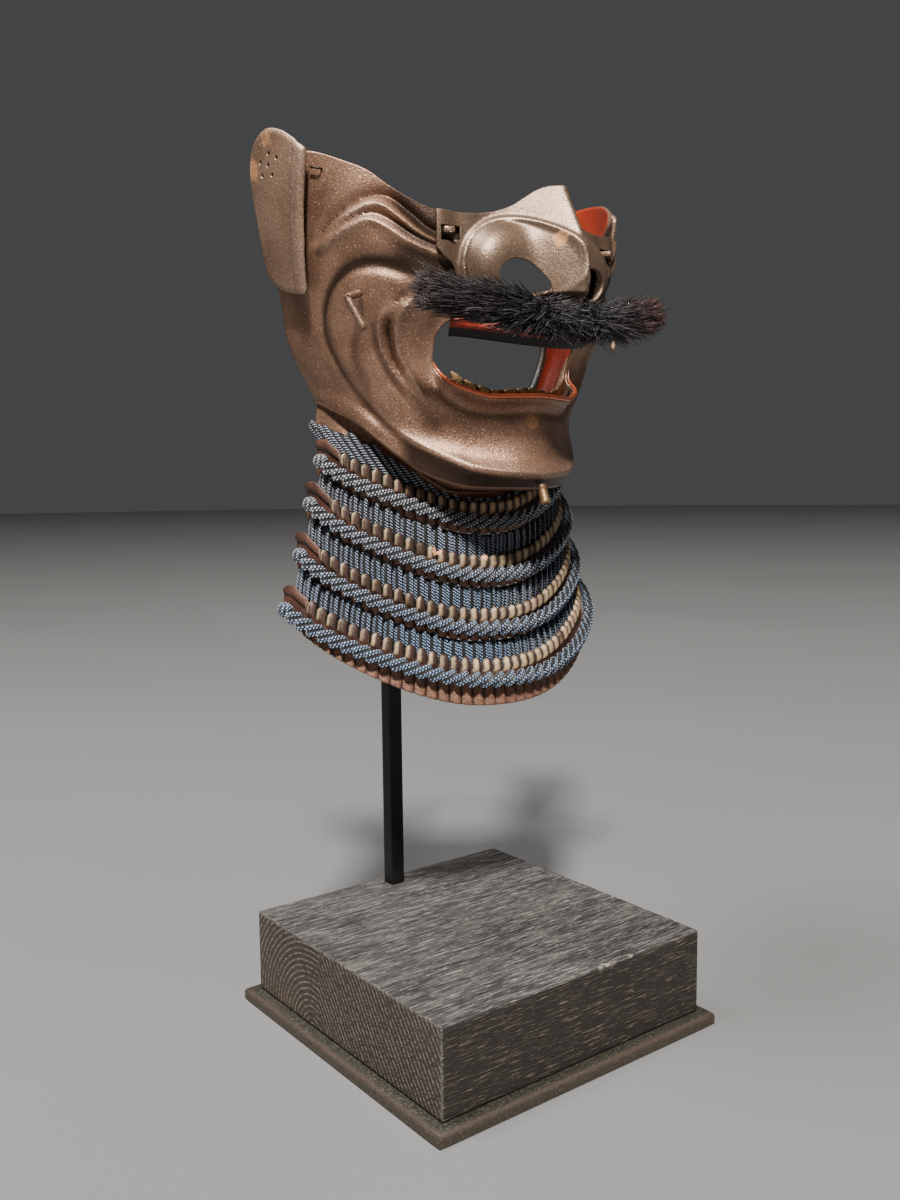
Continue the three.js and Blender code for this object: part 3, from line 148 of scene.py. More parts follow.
class Surface:
    """Vertices, faces and per-vertex values that grow patch by patch and end as one mesh."""

    def __init__(self):
        self.points, self.faces, self.uv, self.values, self.count = [], [], [], {}, 0

    def patch(self, points, uv=None, drop=None, flip=False, loop=False, cap=False, **values):
        """Adds a grid (along, across, 3). Seen from outside, along runs right and across runs down.
        drop marks quads to leave out, loop joins the last row across to the first, cap closes both ends."""
        points = np.asarray(points, float)
        along, across = points.shape[:2]
        index = np.arange(along * across).reshape(along, across) + self.count
        if loop:
            index = np.concatenate([index, index[:, :1]], axis=1)
        quads = np.stack([index[:-1, :-1], index[:-1, 1:], index[1:, 1:], index[1:, :-1]], -1)
        quads = quads.reshape(-1, 4) if drop is None else quads[~drop]
        self.faces.append(quads[:, ::-1] if flip else quads)
        if cap:
            self.fan(index[0, :across], not flip)
            self.fan(index[-1, :across], flip)
        self.points.append(points.reshape(-1, 3))
        self.uv.append(np.zeros((along * across, 2)) if uv is None else np.reshape(uv, (-1, 2)))
        for name, value in values.items():
            whole = np.broadcast_to(value, (along, across)).reshape(-1)
            self.values.setdefault(name, []).append((self.count, whole))
        self.count += along * across

    def fan(self, ring, turned):
        """Closes a ring with triangles from its first point, each kept as a quad whose last corners meet."""
        first, second, third = np.full(len(ring) - 2, ring[0]), ring[1:-1], ring[2:]
        triangles = np.stack([first, third, second] if turned else [first, second, third], -1)
        self.faces.append(np.column_stack([triangles, triangles[:, 2]]))

    def mesh(self, name, material, stands_for=(), slot=None, wall=0.0, sharp=50):
        """One welded object in metres that rides on the body. wall is a thickness behind the sheet in mm,
        and edges sharper than the given angle stay crisp."""
        points, faces = np.concatenate(self.points), np.concatenate(self.faces)
        key = np.round(points * WELDS_PER_MM).astype(np.int64)
        _, first, where = np.unique(key, axis=0, return_index=True, return_inverse=True)
        triangle = faces[:, 2] == faces[:, 3]
        keep = np.ones(faces.shape, bool)
        keep[triangle, 3] = False
        corners = faces[keep]
        sizes = np.where(triangle, 3, 4)
        data = bpy.data.meshes.new(name)
        data.vertices.add(len(first))
        data.vertices.foreach_set("co", (points[first] * MM).ravel())
        data.loops.add(len(corners))
        data.loops.foreach_set("vertex_index", where.reshape(-1)[corners])
        data.polygons.add(len(faces))
        data.polygons.foreach_set("loop_start", np.concatenate([[0], np.cumsum(sizes)[:-1]]))
        data.update(calc_edges=True)
        data.uv_layers.new(name="UVMap").data.foreach_set("uv", np.concatenate(self.uv)[corners].ravel())
        for label, parts in self.values.items():
            whole = np.zeros(len(points))
            for start, part in parts:
                whole[start:start + len(part)] = part
            data.attributes.new(label, "FLOAT", "POINT").data.foreach_set("value", whole[first])
        data.polygons.foreach_set("use_smooth", np.ones(len(faces), bool))
        data.materials.append(material)
        data.validate()
        data.set_sharp_from_angle(angle=math.radians(sharp))
        piece = bpy.data.objects.new(name, data)
        bpy.context.scene.collection.objects.link(piece)
        if wall:
            thick = piece.modifiers.new("wall", "SOLIDIFY")
            thick.thickness, thick.offset = wall * MM, -1
        if stands_for:
            finish_piece(piece, stands_for, slot)
        print(name, len(faces), "faces")
        return piece


def finish_piece(piece, stands_for, slot):
    """The piece rides on the body and hides the solids that it stands for; slot is not used."""
    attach(piece, "root")
    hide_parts(*stands_for)


def single(name, material, stands_for, slot, points, wall=0.0, sharp=50, **patch):
    """A piece that is one grid of places."""
    surface = Surface()
    surface.patch(points, **patch)
    return surface.mesh(name, material, stands_for, slot, wall, sharp)


# %% A tube round a path
def tube_points(path, radius, sides=12):
    """Rings round a path: point + radius * (side * cos + up * sin), where side is level and up completes
    the frame."""
    path = np.asarray(path, float)
    along = unit(np.gradient(path, axis=0))
    side = np.cross([0, 0, 1.0], along)
    level = np.linalg.norm(side, axis=1, keepdims=True)
    side = np.where(level < 0.05, [0, 1.0, 0], side / np.maximum(level, 1e-9))
    up = np.cross(along, side)
    turn = circle(sides)[:, None]
    radius = np.broadcast_to(radius, len(path))[:, None, None]
    return path[:, None] + radius * (side[:, None] * np.cos(turn) + up[:, None] * np.sin(turn))


def rounded_ends(count, end):
    """Shares along a tube and the ring sizes that close it: half circles of the given share at both ends."""
    t = (1 - np.cos(np.linspace(0, np.pi, count))) / 2
    return t, arch(1 - np.clip(np.minimum(t, 1 - t) / end, 0, 1))


print("a straight tube of two rings has", tube_points([[0, 0, 0], [0, 1, 0]], 1).shape[:2], "places")

# %% [markdown]
# ## Shader maths
# A finish is a sum of masks: grain times wear, plus rust near a hole. Written as nodes by hand that is a
# long tangle, so a small class lets Python's own + - * / build the Math nodes, and one method makes every
# other node.

# %% Sockets that can be added and multiplied
def math_node(operation, swapped=False):
    """A method that adds a Math node; swapped puts its own value second, for 1 - x and the like."""
    def method(link, other=0.0):
        first, second = (other, link) if swapped else (link, other)
        return link.finish.node("ShaderNodeMath", {"operation": operation}, {0: first, 1: second})
    return method


class Link:
    """One output socket; arithmetic on it adds Math nodes."""

    __add__ = __radd__ = math_node("ADD")
    __sub__, __rsub__ = math_node("SUBTRACT"), math_node("SUBTRACT", swapped=True)
    __mul__ = __rmul__ = math_node("MULTIPLY")
    __pow__, larger, wave, root = (math_node(name) for name in ("POWER", "MAXIMUM", "SINE", "SQRT"))

    def __init__(self, finish, socket):
        self.finish, self.socket = finish, socket

    def between(self, low, high):
        """0 at low, 1 at high, eased between; low may be the larger."""
        return self.finish.node("ShaderNodeMapRange", {"interpolation_type": "SMOOTHSTEP"},
                                {"Value": self, "From Min": low, "From Max": high})


# %% A material made of nodes
class Finish:
    """A Principled material: fixed sockets are set by name, and node() adds any node to it."""

    def __init__(self, name, **fixed):
        self.material = bpy.data.materials.new(name)
        self.material.use_nodes = True
        self.tree = self.material.node_tree
        self.shader = self.tree.nodes["Principled BSDF"]
        for label, value in fixed.items():
            self.shader.inputs[label.replace("_", " ")].default_value = value

    def node(self, kind, settings=None, inputs=None, out=0):
        """Makes a node, sets it up, feeds its sockets with values or links, and gives back an output."""
        made = self.tree.nodes.new(kind)
        for label, value in (settings or {}).items():
            setattr(made, label, value)
        for label, value in (inputs or {}).items():
            self.feed(made.inputs[label], value)
        return Link(self, made.outputs[out])

    def feed(self, socket, value):
        if isinstance(value, Link):
            self.tree.links.new(value.socket, socket)
        else:
            socket.default_value = (*value, 1) if socket.type == "RGBA" else value

    def place(self):
        """Where a point is on the object, in metres."""
        return self.node("ShaderNodeTexCoord", out="Object")

    def stretched(self, scale, turn=(0, 0, 0)):
        """The same place with each axis scaled, so that a pattern on it is drawn out."""
        return self.node("ShaderNodeMapping", {}, {"Vector": self.place(), "Scale": scale, "Rotation": turn})

    def noise(self, scale, detail=3.0, rough=0.55, at=None):
        """Cloudy noise from 0 to 1 whose blobs are about 1/scale metres wide."""
        return self.node("ShaderNodeTexNoise", {}, {
            "Vector": at or self.place(), "Scale": scale, "Detail": detail, "Roughness": rough})

    def axis(self, name, at=None):
        """One coordinate of a place."""
        return self.node("ShaderNodeSeparateXYZ", {}, {0: at or self.place()}, out=name)

    def value(self, name):
        """A number stored on the piece's vertices."""
        return self.node("ShaderNodeAttribute", {"attribute_name": name}, out="Fac")

    def near(self, centre, radius, soft, ragged):
        """1 near a place given in millimetres and 0 beyond its radius; ragged noise breaks up the edge."""
        away = self.node("ShaderNodeVectorMath", {"operation": "DISTANCE"},
                         {0: self.place(), 1: tuple(c * MM for c in centre)}, out="Value")
        share = away * (1 / (radius * MM)) + (ragged - 0.5) * 1.5
        return share.between(1 + soft / 2, 1 - soft / 2)

    def blend(self, a, b, share):
        """Colour a turning to colour b."""
        return self.node("ShaderNodeMix", {"data_type": "RGBA"}, {0: share, 6: a, 7: b}, out=2)

    def layers(self, colour, *rest):
        """A colour with others laid over it in turn, each given as (colour, share)."""
        for layer, share in rest:
            colour = self.blend(colour, layer, share)
        return colour

    def done(self, colour, rough=None, height=None, depth=0.0):
        """Feeds the colour, the roughness and a bump of that depth in metres, and gives back the material."""
        fed = {"Base Color": colour, "Roughness": rough}
        if height is not None:
            inputs = {"Height": height, "Distance": depth, "Strength": 1.0}
            fed["Normal"] = self.node("ShaderNodeBump", {}, inputs)
        for label, value in fed.items():
            if value is not None:
                self.feed(self.shader.inputs[label], value)
        return self.material


print("shader tools ready")

# %% [markdown]
# ## Camera and light
# The camera stands a little over half a metre from the mask, to its right and level with its chin, so the
# near cheek looms larger than the far one. One lamp high above the camera models the folds, a weaker one
# hangs above and behind, a faint one fills, and the floor is plain and grey.

# %% Camera and lights
def facing(back, roll=0.0):
    """Columns right, up and back of something that looks against back, level but for its roll."""
    back = unit(np.asarray(back, float))
    right = unit(np.cross([0, 0, 1], back))
    up = np.cross(back, right)
    cos, sin = math.cos(roll), math.sin(roll)
    return np.stack([cos * right + sin * up, cos * up - sin * right, back], -1)


def add_at(name, data, place, axes):
    """An object in the scene at a place in metres, turned to those axes."""
    made = bpy.data.objects.new(name, data)
    matrix = np.eye(4)
    matrix[:3, :3], matrix[:3, 3] = axes, place
    made.matrix_world = Matrix(matrix.tolist())
    bpy.context.scene.collection.objects.link(made)
    return made


def add_camera(place, azimuth, elevation, roll):
    """A camera that looks back along a direction given in degrees from straight ahead and from level."""
    a, e, r = np.radians([azimuth, elevation, roll])
    data = bpy.data.cameras.new("camera")
    data.sensor_width, data.lens, data.clip_start = 36, 33.6, 0.01
    back = [math.sin(a) * math.cos(e), -math.cos(a) * math.cos(e), math.sin(e)]
    bpy.context.scene.camera = add_at("camera", data, place, facing(back, r))


def add_light(name, place, target, size, watts, colour):
    """A square soft light at a place in metres, facing its target."""
    data = bpy.data.lights.new(name, "AREA")
    data.shape, data.size, data.energy, data.color = "SQUARE", size, watts, colour
    add_at(name, data, place, facing(np.subtract(place, target)))


add_camera((-0.32046, -0.40553, 0.25712), -37.3, 6.3, -0.6)
add_light("key", (-2.4, -3.09, 4.6), (0, 0, 0.28), 0.6, 970, (1.0, 0.96, 0.9))
add_light("top", (-0.6, 0.25, 1.6), (0, 0, 0.3), 0.5, 24, (1.0, 0.97, 0.94))
add_light("fill", (0.3, -1.6, 0.6), (0, 0, 0.2), 1.2, 0.2, (0.95, 0.97, 1.0))
print("camera at", [round(c, 3) for c in bpy.context.scene.camera.matrix_world.translation])

# %% Floor and world
def add_floor(radius=9000, rings=12, sides=48):
    """A wide disc, with its rings closer together near the middle."""
    reach = np.linspace(0, 1, rings)[:, None] ** 2 * radius
    turn = circle(sides)
    below = np.full((rings, sides), -0.05)
    paint = Finish("pale_floor", Roughness=0.8)
    finish = paint.done(paint.blend((0.15, 0.15, 0.152), (0.175, 0.175, 0.177), paint.noise(2.0, 2.0)))
    points = np.stack([reach * np.cos(turn), reach * np.sin(turn), below], -1)
    floor = single("floor", finish, (), None, points, loop=True)


def add_world(colour, strength):
    """An even light from everywhere."""
    world = bpy.data.worlds.new("studio")
    bpy.context.scene.world = world
    world.use_nodes = True
    background = world.node_tree.nodes["Background"]
    background.inputs[0].default_value, background.inputs[1].default_value = (*colour, 1), strength


add_world((0.72, 0.73, 0.75), 0.09)
add_floor()

# %% [markdown]
# ## The face chart
# The smith raises the mask from one sheet, so the whole face is one smooth plan with shapes hammered into
# it. A place on it is an angle round an upright axis, 0 at the front and 90 at the ears, and a height. Ten
# half ovals give the plan. What is hammered in, such as a fold, depends on the distance to a line drawn on
# the same chart, so it can be as fine as the grid allows.

# %% The plan: ten half ovals joined upwards
CENTRE_Y, MM_PER_DEGREE = 32, 1.42
LEVELS = np.array([  # height in front and at the side, half width, reach, fullness
    [252, 291.5, 62, 72.4, 1.96], [258, 295, 64, 77.8, 1.71], [265, 298.5, 65.6, 77.1, 1.55],
    [276, 302, 67.9, 76, 1.6], [291, 309, 71.6, 77.5, 1.7], [307, 317, 74.8, 77, 1.88],
    [328, 331, 77, 78.5, 2.5], [350, 350, 81.5, 78.3, 2.7], [372, 372, 86, 76.8, 2.5],
    [402, 402, 89.6, 74.8, 2.35]])
climb = smooth_curve([0, 20, 36, 46, 57, 66, 77, 90, 100],
                     [0, 0.02, 0.165, 0.34, 0.57, 0.745, 0.875, 1, 1.03])


def oval(angle, half_width, reach, fullness, softness=0.0):
    """(|side| / half_width)^n + (forward / reach)^n = 1, with a softened nose so that it has no point."""
    forward = np.abs(np.cos(np.radians(angle)))
    sideways = np.hypot(np.sin(np.radians(angle)), softness * forward)
    kept = (1 - (softness * reach / half_width) ** fullness) ** (1 / fullness)
    return ((sideways / half_width) ** fullness + (forward * kept / reach) ** fullness) ** (-1 / fullness)


def base_radius(angle, height):
    """Radius of the plain plan: a cubic through the ten levels' radii over the ten levels' heights. The
    slope at a level is its two sides' slopes, each weighted by the other side's span."""
    angle, height = np.broadcast_arrays(np.abs(np.asarray(angle, float)), np.asarray(height, float))
    heights = mix(LEVELS[:, 0], LEVELS[:, 1], climb(angle)[..., None])
    radii = oval(angle[..., None], *LEVELS[:, 2:].T, softness=0.1)
    spans = np.diff(heights)
    rates = np.diff(radii) / spans
    weighted = rates[..., :-1] * spans[..., 1:] + rates[..., 1:] * spans[..., :-1]
    inner = weighted / (spans[..., 1:] + spans[..., :-1])
    slopes = np.concatenate([rates[..., :1], inner, rates[..., -1:]], -1)
    i = np.clip((heights <= height[..., None]).sum(-1) - 1, 0, len(LEVELS) - 2)[..., None]
    low, span, a, b, slope_a, slope_b = (np.take_along_axis(x, i + k, -1)[..., 0] for x, k in (
        (heights, 0), (spans, 0), (radii, 0), (radii, 1), (slopes, 0), (slopes, 1)))
    return hermite(np.clip((height - low) / span, -0.5, 1.5), span, a, b, slope_a, slope_b)


def polar(angle, radius, height, axis_y=CENTRE_Y):
    """(r sin a, axis - r cos a, height)."""
    turn = np.radians(angle)
    return np.stack(np.broadcast_arrays(radius * np.sin(turn), axis_y - radius * np.cos(turn), height), -1)


def on_base(angle, height, out=0.0):
    return polar(angle, base_radius(angle, height) + out, height)


for place, angle, height in (("chin", 0, 258), ("ear", 90, 380)):
    print("radius at the", place, round(float(base_radius(angle, height)), 1))

# %% [markdown]
# ## What the hammer did
# A fold is a crest with a furrow beside it, and the jaw line is a step that dies away inwards. Each is a
# formula of the distance to a line on the chart. A displaced texture would look alike, but then nothing
# could be set exactly on the sheet, as the nose piece, the plates and the pegs are here.

# %% Lines of the jaw, the folds and the mouth
JAW_LINE = smooth_line([  # angle, height, how far it stands out, how far in that lasts, crispness, groove
    [0, 257.8, 4.4, 6, 1, 0], [12, 259, 4.4, 6, 1, 0], [21, 261.5, 4.4, 6.5, 1, 0],
    [29, 266, 4.2, 7.5, 1.05, 0], [40, 272, 4, 9, 1.15, 0.2], [49, 279, 3.6, 10, 1.3, 0.5],
    [57, 288, 3, 11, 1.5, 0.9], [64, 298, 2.4, 11, 1.6, 1.3], [68, 309, 2, 11, 1.6, 1.5],
    [69, 318, 1.7, 11, 1.6, 1.6], [67, 327, 1.4, 11, 1.6, 1.8], [62.5, 335, 1, 11, 1.6, 2],
    [57, 340, 0.5, 11, 1.6, 2.2], [51, 341, 0.2, 11, 1.6, 2.2], [45, 339, 0, 11, 1.6, 1.6],
    [38, 334, 0, 11, 1.6, 0]])
FOLDS = [  # crest, its width, furrow, its place and width, then the line: angle, height, share
    (2.3, 1.9, 2.0, -4.2, 1.7, [[68, 347, 0], [63, 353, 1], [57, 359.5, 1], [51, 363.5, 1],
                               [47, 363.5, 1], [42, 358, 1], [37, 352, 1], [31, 348, 0.7], [27, 346, 0]]),
    (2.0, 1.7, 1.1, -3.4, 1.3, [[67.5, 347.5, 0], [62, 351, 0.9], [56, 355.5, 0.9], [50.5, 358, 0.9],
                               [46, 355, 0.9], [41, 350, 0.9], [36, 346.5, 0.9], [31, 344, 0.7],
                               [27, 342, 0]]),
    (2.8, 2.3, 0.6, 4.2, 1.8, [[42, 327.5, 0], [46, 324.5, 0.8], [50, 319, 1], [50.5, 312, 1],
                              [48.5, 304, 1], [43.5, 295, 0.9], [37.5, 286.5, 0]]),
    (2.8, 2.1, 1.6, 4.2, 1.7, [[38, 328, 0], [41.5, 325, 0.8], [44.5, 319, 1], [45, 309, 1],
                              [41.5, 299, 0.9], [34, 284, 0]])]
FOLDS = [(*shape, smooth_line(line)) for *shape, line in FOLDS]
MOUTH_RIM = smooth_line([[0, 289.5], [16, 289], [24, 292], [31, 298], [34, 305.5], [33.5, 313],
                         [31, 319], [27, 324]])
print("jaw line of", len(JAW_LINE), "places,", len(FOLDS), "folds")

# %% How far the sheet stands out near them
GROOVE_DEPTH, FURROW_DEPTH, LIP_ROLL, CORNER_DIP, KEEL_OUT = 1.2, 1.25, 3.4, 4.5, 4.4


def ridge(x):
    """exp(-|x|^1.45): a bump with a sharper crest than a bell."""
    return np.exp(-np.abs(x) ** 1.45)


def nearest(line, angle, height):
    """Signed distance in mm from chart places to a line, positive on the left of its run, and the line's
    further columns at the nearest place. The distance to a segment is |p - a - t(b - a)| with t in 0..1."""
    scale = np.array([MM_PER_DEGREE, 1])
    start = line[:-1, :2] * scale
    run = line[1:, :2] * scale - start
    place = np.stack([np.ravel(angle), np.ravel(height)], -1) * scale
    off = place[:, None] - start
    t = np.clip((off * run).sum(-1) / (run * run).sum(-1), 0, 1)
    away = np.hypot(off[..., 0] - t * run[:, 0], off[..., 1] - t * run[:, 1])
    left = off[..., 0] * -run[:, 1] + off[..., 1] * run[:, 0]
    k = away.argmin(1)[:, None]
    away, t, left = (np.take_along_axis(x, k, 1)[:, 0] for x in (away, t, left))
    columns = mix(line[k[:, 0], 2:], line[k[:, 0] + 1, 2:], t[:, None])
    shape = np.shape(angle)
    return (np.where(left < 0, -1, 1) * away).reshape(shape), [c.reshape(shape) for c in columns.T]


def relief(angle, height):
    """What is hammered in: step * swelling - depth * groove * bell at the jaw line, a crest and a furrow
    along each fold, a dip round the mouth's corner and a roll along the lower lip. Also the wear and the
    painted shade at each place: up to 1 of wear on a crest, and below 0 where shade is painted in a
    furrow, in the groove beside the jaw line and under the chin."""
    angle, height = np.broadcast_arrays(np.abs(np.asarray(angle, float)), np.asarray(height, float))
    jaw, (step, reach, crisp, groove) = nearest(JAW_LINE, angle, height)
    inside = np.exp(-(np.maximum(jaw, 0) / reach) ** crisp)
    outside = bell(jaw / mix(6, 2.8, ease((angle - 20) / 30)))
    out = step * np.where(jaw < 0, outside, inside) - GROOVE_DEPTH * groove * bell((jaw + 1.2) / 3.2)
    worn = bell(jaw / 1.6) * step / KEEL_OUT
    for crest, width, furrow, place, furrow_width, line in FOLDS:
        away, (share,) = nearest(line, angle, height)
        hollow = ridge((away - place) / furrow_width)
        out += share * (crest * ridge(away / width) - FURROW_DEPTH * furrow * hollow)
        # Wear on the crest, and painted shade in the furrow beside it.
        worn = np.maximum(worn, share * bell(away / 1.8)) - share * min(furrow, 1) * hollow * 0.7
    rim = np.abs(nearest(MOUTH_RIM, angle, height)[0])
    corner = ease((angle - 20) / 14) * ease((height - 284) / 16)
    lip = ease((38 - angle) / 10) * ease((304 - height) / 10)
    out += lip * (LIP_ROLL * bell(rim / 2.2) - bell((rim - 5.5) / 2.6)) - CORNER_DIP * corner * bell(rim / 8)
    # Painted shade: darker under the chin and in the groove beside the jaw line.
    under_chin = ease(-jaw / 4) * ease((52 - angle) / 14)
    return out, worn - under_chin - 0.5 * groove * bell((jaw + 1.4) / 2.4)


def on_face(angle, height, out=0.0):
    return on_base(angle, height, relief(angle, height)[0] + out)


print("relief at the keel", round(float(relief(0, 257.8)[0]), 2), "mm")

# %% [markdown]
# ## Finishes
# Russet iron is iron rusted on purpose and then sealed: warm brown, fine-grained, with a low sheen and
# bright specks, which are painted into its colour as glints. It wears paler on crests and blooms orange
# beside holes, and painted shade darkens its furrows and the underside of the chin. The lames are dark
# lacquer with gilded heads, the laces slate-blue silk flecked with white. Each finish reads the object's
# own coordinates.

# %% Iron, lacquer, silk and wood
PALE_CREST, PAINTED_GLINT, RUST = (0.42, 0.34, 0.27), (0.95, 0.75, 0.56), (0.55, 0.27, 0.12)


def scaled(colour, shares):
    return tuple(np.multiply(colour, shares).tolist())


def russet_finish(name, dark, light, blooms=(), grey=0.35, flecks=0.6):
    """Brown iron: two browns mixed by cloudy noise, paler crests, bright specks painted in as glints, painted
    shade in hollows, dark pits, and rust in patches given as (centre, radius) in mm. grey is how pale crests
    are, flecks how bright the painted glints are."""
    paint = Finish(name, Metallic=0.65)
    cloud, grain, speck = paint.noise(45, 4), paint.noise(800, 3, 0.75), paint.noise(1300, 2, 0.8)
    worn = paint.value("worn")
    spots = [paint.near(centre, radius, 0.35, paint.noise(170, 4, 0.7)) for centre, radius in blooms]
    colour = paint.layers(dark, (light, cloud.between(0.3, 0.7) * 0.75 + grain.between(0.3, 0.7) * 0.25),
                          (PALE_CREST, worn * grain.between(0.3, 0.7) * grey),
                          # Painted glints: bright specks laid into the colour as sparkle.
                          (PAINTED_GLINT, speck.between(0.62, 0.7) * flecks),
                          # Painted shade: darker where the value is below 0, in furrows, the jaw's groove and
                          # under the chin; at -1 it makes the wire black.
                          (scaled(dark, 0.12), worn.between(0, -0.9) * 0.9),
                          (scaled(dark, 0.35), speck.between(0.42, 0.3) * 0.6))
    rough = 0.31 + grain * 0.16 - worn * 0.04
    if spots:
        rust = spots[0]
        for spot in spots[1:]:
            rust = rust.larger(spot)
        colour = paint.blend(colour, RUST, rust * grain.between(0.35, 0.52) * 0.8)
        rough = rough + rust * 0.25
    return paint.done(colour, rough, (grain * 0.8 + speck * 0.5) * (0.4 + flecks) + cloud, 0.0003)


def lacquer_finish(name, dark, light, gloss=0.2, low=0.0):
    """Lacquer under a glossy coat, in two reds that change slowly, darker below the height low (m) as painted
    shade and lighter above it as painted light.
    """
    paint = Finish(name, Coat_Weight=0.7, Coat_Roughness=0.12)
    slow, fine = paint.noise(35, 3), paint.noise(500, 2)
    # Painted shade and light: darker low inside the mask, lighter higher up where the light falls.
    high = paint.axis("Z").between(low, low + 0.05)
    colour = paint.blend(dark, light, slow.between(0.3, 0.7) * 0.2 + 0.8 * high)
    return paint.done(colour, gloss + fine * 0.15, slow + fine * 0.2, 0.0004)


RUST_SPOTS = [((-76, -6, 379.4), 3.6), ((-72, -9, 377.5), 3), (on_face(0, 280), 3.4)]
russet = russet_finish("russet_iron_worn", (0.16, 0.084, 0.052), (0.33, 0.188, 0.124), RUST_SPOTS)
nose_iron = russet_finish("nose_iron_worn", (0.115, 0.072, 0.047), (0.19, 0.126, 0.086),
                          [((-5.5, -68, 351), 3.2)], grey=0.2, flecks=0.2)
# The lining is painted darker below 310 mm as shade and lighter above it as light.
vermilion = lacquer_finish("vermilion_lacquer", (0.04, 0.004, 0.0025), (0.3, 0.03, 0.011), low=0.31)
print("finishes", len(bpy.data.materials))

# %% [markdown]
# ## The mask
# The sheet is a U on the chart: from one upper edge, down beside the nose, round the mouth and chin and up
# the other side. So the grid runs along the U, and across it from the mouth to the outer edge. Columns are
# spaced by length, and one row is held on the keel so that its edge stays crisp.

# %% The U-shaped grid
MOUTH_SHARES = [0, 0.2, 0.35, 0.5, 0.65, 0.8, 0.9, 1]
MOUTH_SIDE = smooth_curve(MOUTH_SHARES, [0, 15, 24, 31, 34, 33.5, 31.5, 24])
MOUTH_HEIGHT = smooth_curve(MOUTH_SHARES, [289.5, 289, 292, 298, 305, 312, 317.5, 324])
JAW_CORNER, EAR_CORNER, REAR_TOP = 0.5, 0.8214, 388
TOP_EDGE = smooth_line([[90, 388], [80, 389.5], [67, 387], [57, 381.5], [51, 377.5], [46, 372], [40, 366.5],
                        [33, 362.5], [22, 361.5]])
FACE_WALL, LINING_WALL, KEEL_ROW = 2.0, 0.28, 8 / 11


def jaw_edge_height(angle):
    return mix(LEVELS[0, 0], LEVELS[0, 1], climb(np.abs(angle)))


def outer_edge(share):
    """Angle and height of the outer edge: the jaw edge, then straight up at 90 degrees, then the top edge."""
    jaw = 90 * np.minimum(share / JAW_CORNER, 1)
    rear = np.clip((share - JAW_CORNER) / (EAR_CORNER - JAW_CORNER), 0, 1)
    place = np.clip((share - EAR_CORNER) / (1 - EAR_CORNER), 0, 1) * (len(TOP_EDGE) - 1)
    top = [np.interp(place, np.arange(len(TOP_EDGE)), TOP_EDGE[:, k]) for k in (0, 1)]
    angle = np.where(share <= EAR_CORNER, jaw, top[0])
    height = np.where(share <= JAW_CORNER, jaw_edge_height(jaw), mix(LEVELS[0, 1], REAR_TOP, rear))
    return angle, np.where(share <= EAR_CORNER, height, top[1])


def keel_share(share):
    """The share of the way out at which the keel is met, by halving; beyond the front, an even share."""
    outer, inner = outer_edge(share), (MOUTH_SIDE(share), MOUTH_HEIGHT(share))
    low, high = np.zeros_like(share), np.ones_like(share)
    for _ in range(22):
        w = (low + high) / 2
        inside = nearest(JAW_LINE, mix(inner[0], outer[0], w), mix(inner[1], outer[1], w))[0] > 0
        low, high = np.where(inside, w, low), np.where(inside, high, w)
    return mix(low, 0.75, ease((share - 0.26) / 0.14))


def mask_chart(columns, rows):
    """Chart places of the U: a column is a share of the way round, a row a share of the way outwards."""
    fine = np.linspace(0, 1, 2001)
    angle, height = outer_edge(fine)
    inner = np.hypot(np.diff(MOUTH_SIDE(fine)) * MM_PER_DEGREE, np.diff(MOUTH_HEIGHT(fine)))
    step = np.hypot(np.diff(angle) * MM_PER_DEGREE, np.diff(height)) + inner
    run = np.concatenate([[0], np.cumsum(step)])
    share = np.interp(np.linspace(0, run[-1], columns), run, fine)
    for corner in (JAW_CORNER, EAR_CORNER):
        share[np.abs(share - corner).argmin()] = corner
    side = np.concatenate([-np.ones(columns - 1), np.ones(columns)])[:, None]
    share = np.concatenate([share[:0:-1], share])
    held = np.abs(np.linspace(0, 1, rows) - KEEL_ROW).argmin()
    row = np.arange(rows)
    past = np.maximum(0, row - held) / (rows - 1 - held)
    w = mix(keel_share(share)[:, None] * np.minimum(1, row / held), 1, past)
    angle, height = (x[:, None] for x in outer_edge(share))
    return mix(MOUTH_SIDE(share)[:, None], angle, w) * side, mix(MOUTH_HEIGHT(share)[:, None], height, w)


print("mouth corner at", [round(float(curve(0.65)), 1) for curve in (MOUTH_SIDE, MOUTH_HEIGHT)])

# %% Holes in the sheet, its outside and its lining
CHEEK_HOLES = np.array([[63.4, 379.4], [60, 377.5]])
HOLE_RADIUS = 0.95


def open_holes(angle, height, centres, outline):
    """Moves grid places inside an outline onto it, and marks the quads that it swallows. A place at polar
    (r, t) about a centre, in mm, is inside where r < outline(t); it moves to r = outline(t)."""
    angle, height = angle.copy(), height.copy()
    drop = np.zeros((angle.shape[0] - 1, angle.shape[1] - 1), bool)
    for centre_angle, centre_height in centres:
        scale = np.radians(1) * float(base_radius(centre_angle, centre_height))
        across, rise = (angle - centre_angle) * scale, height - centre_height
        r, t = np.hypot(across, rise), np.arctan2(rise, across)
        edge = outline(t, np.sign(centre_angle))
        inside = r < edge
        drop |= inside[:-1, :-1] & inside[1:, :-1] & inside[:-1, 1:] & inside[1:, 1:]
        grow = np.where(inside, edge / np.maximum(r, 1e-6), 1)
        angle = np.where(inside, centre_angle + across * grow / scale, angle)
        height = np.where(inside, centre_height + rise * grow, height)
    return angle, height, drop


def both_sides(places):
    """Places of the left half and their mirror images."""
    return [(side * angle, height) for side in (-1, 1) for angle, height in places]


def round_outline(turn, side):
    return np.full_like(turn, HOLE_RADIUS)


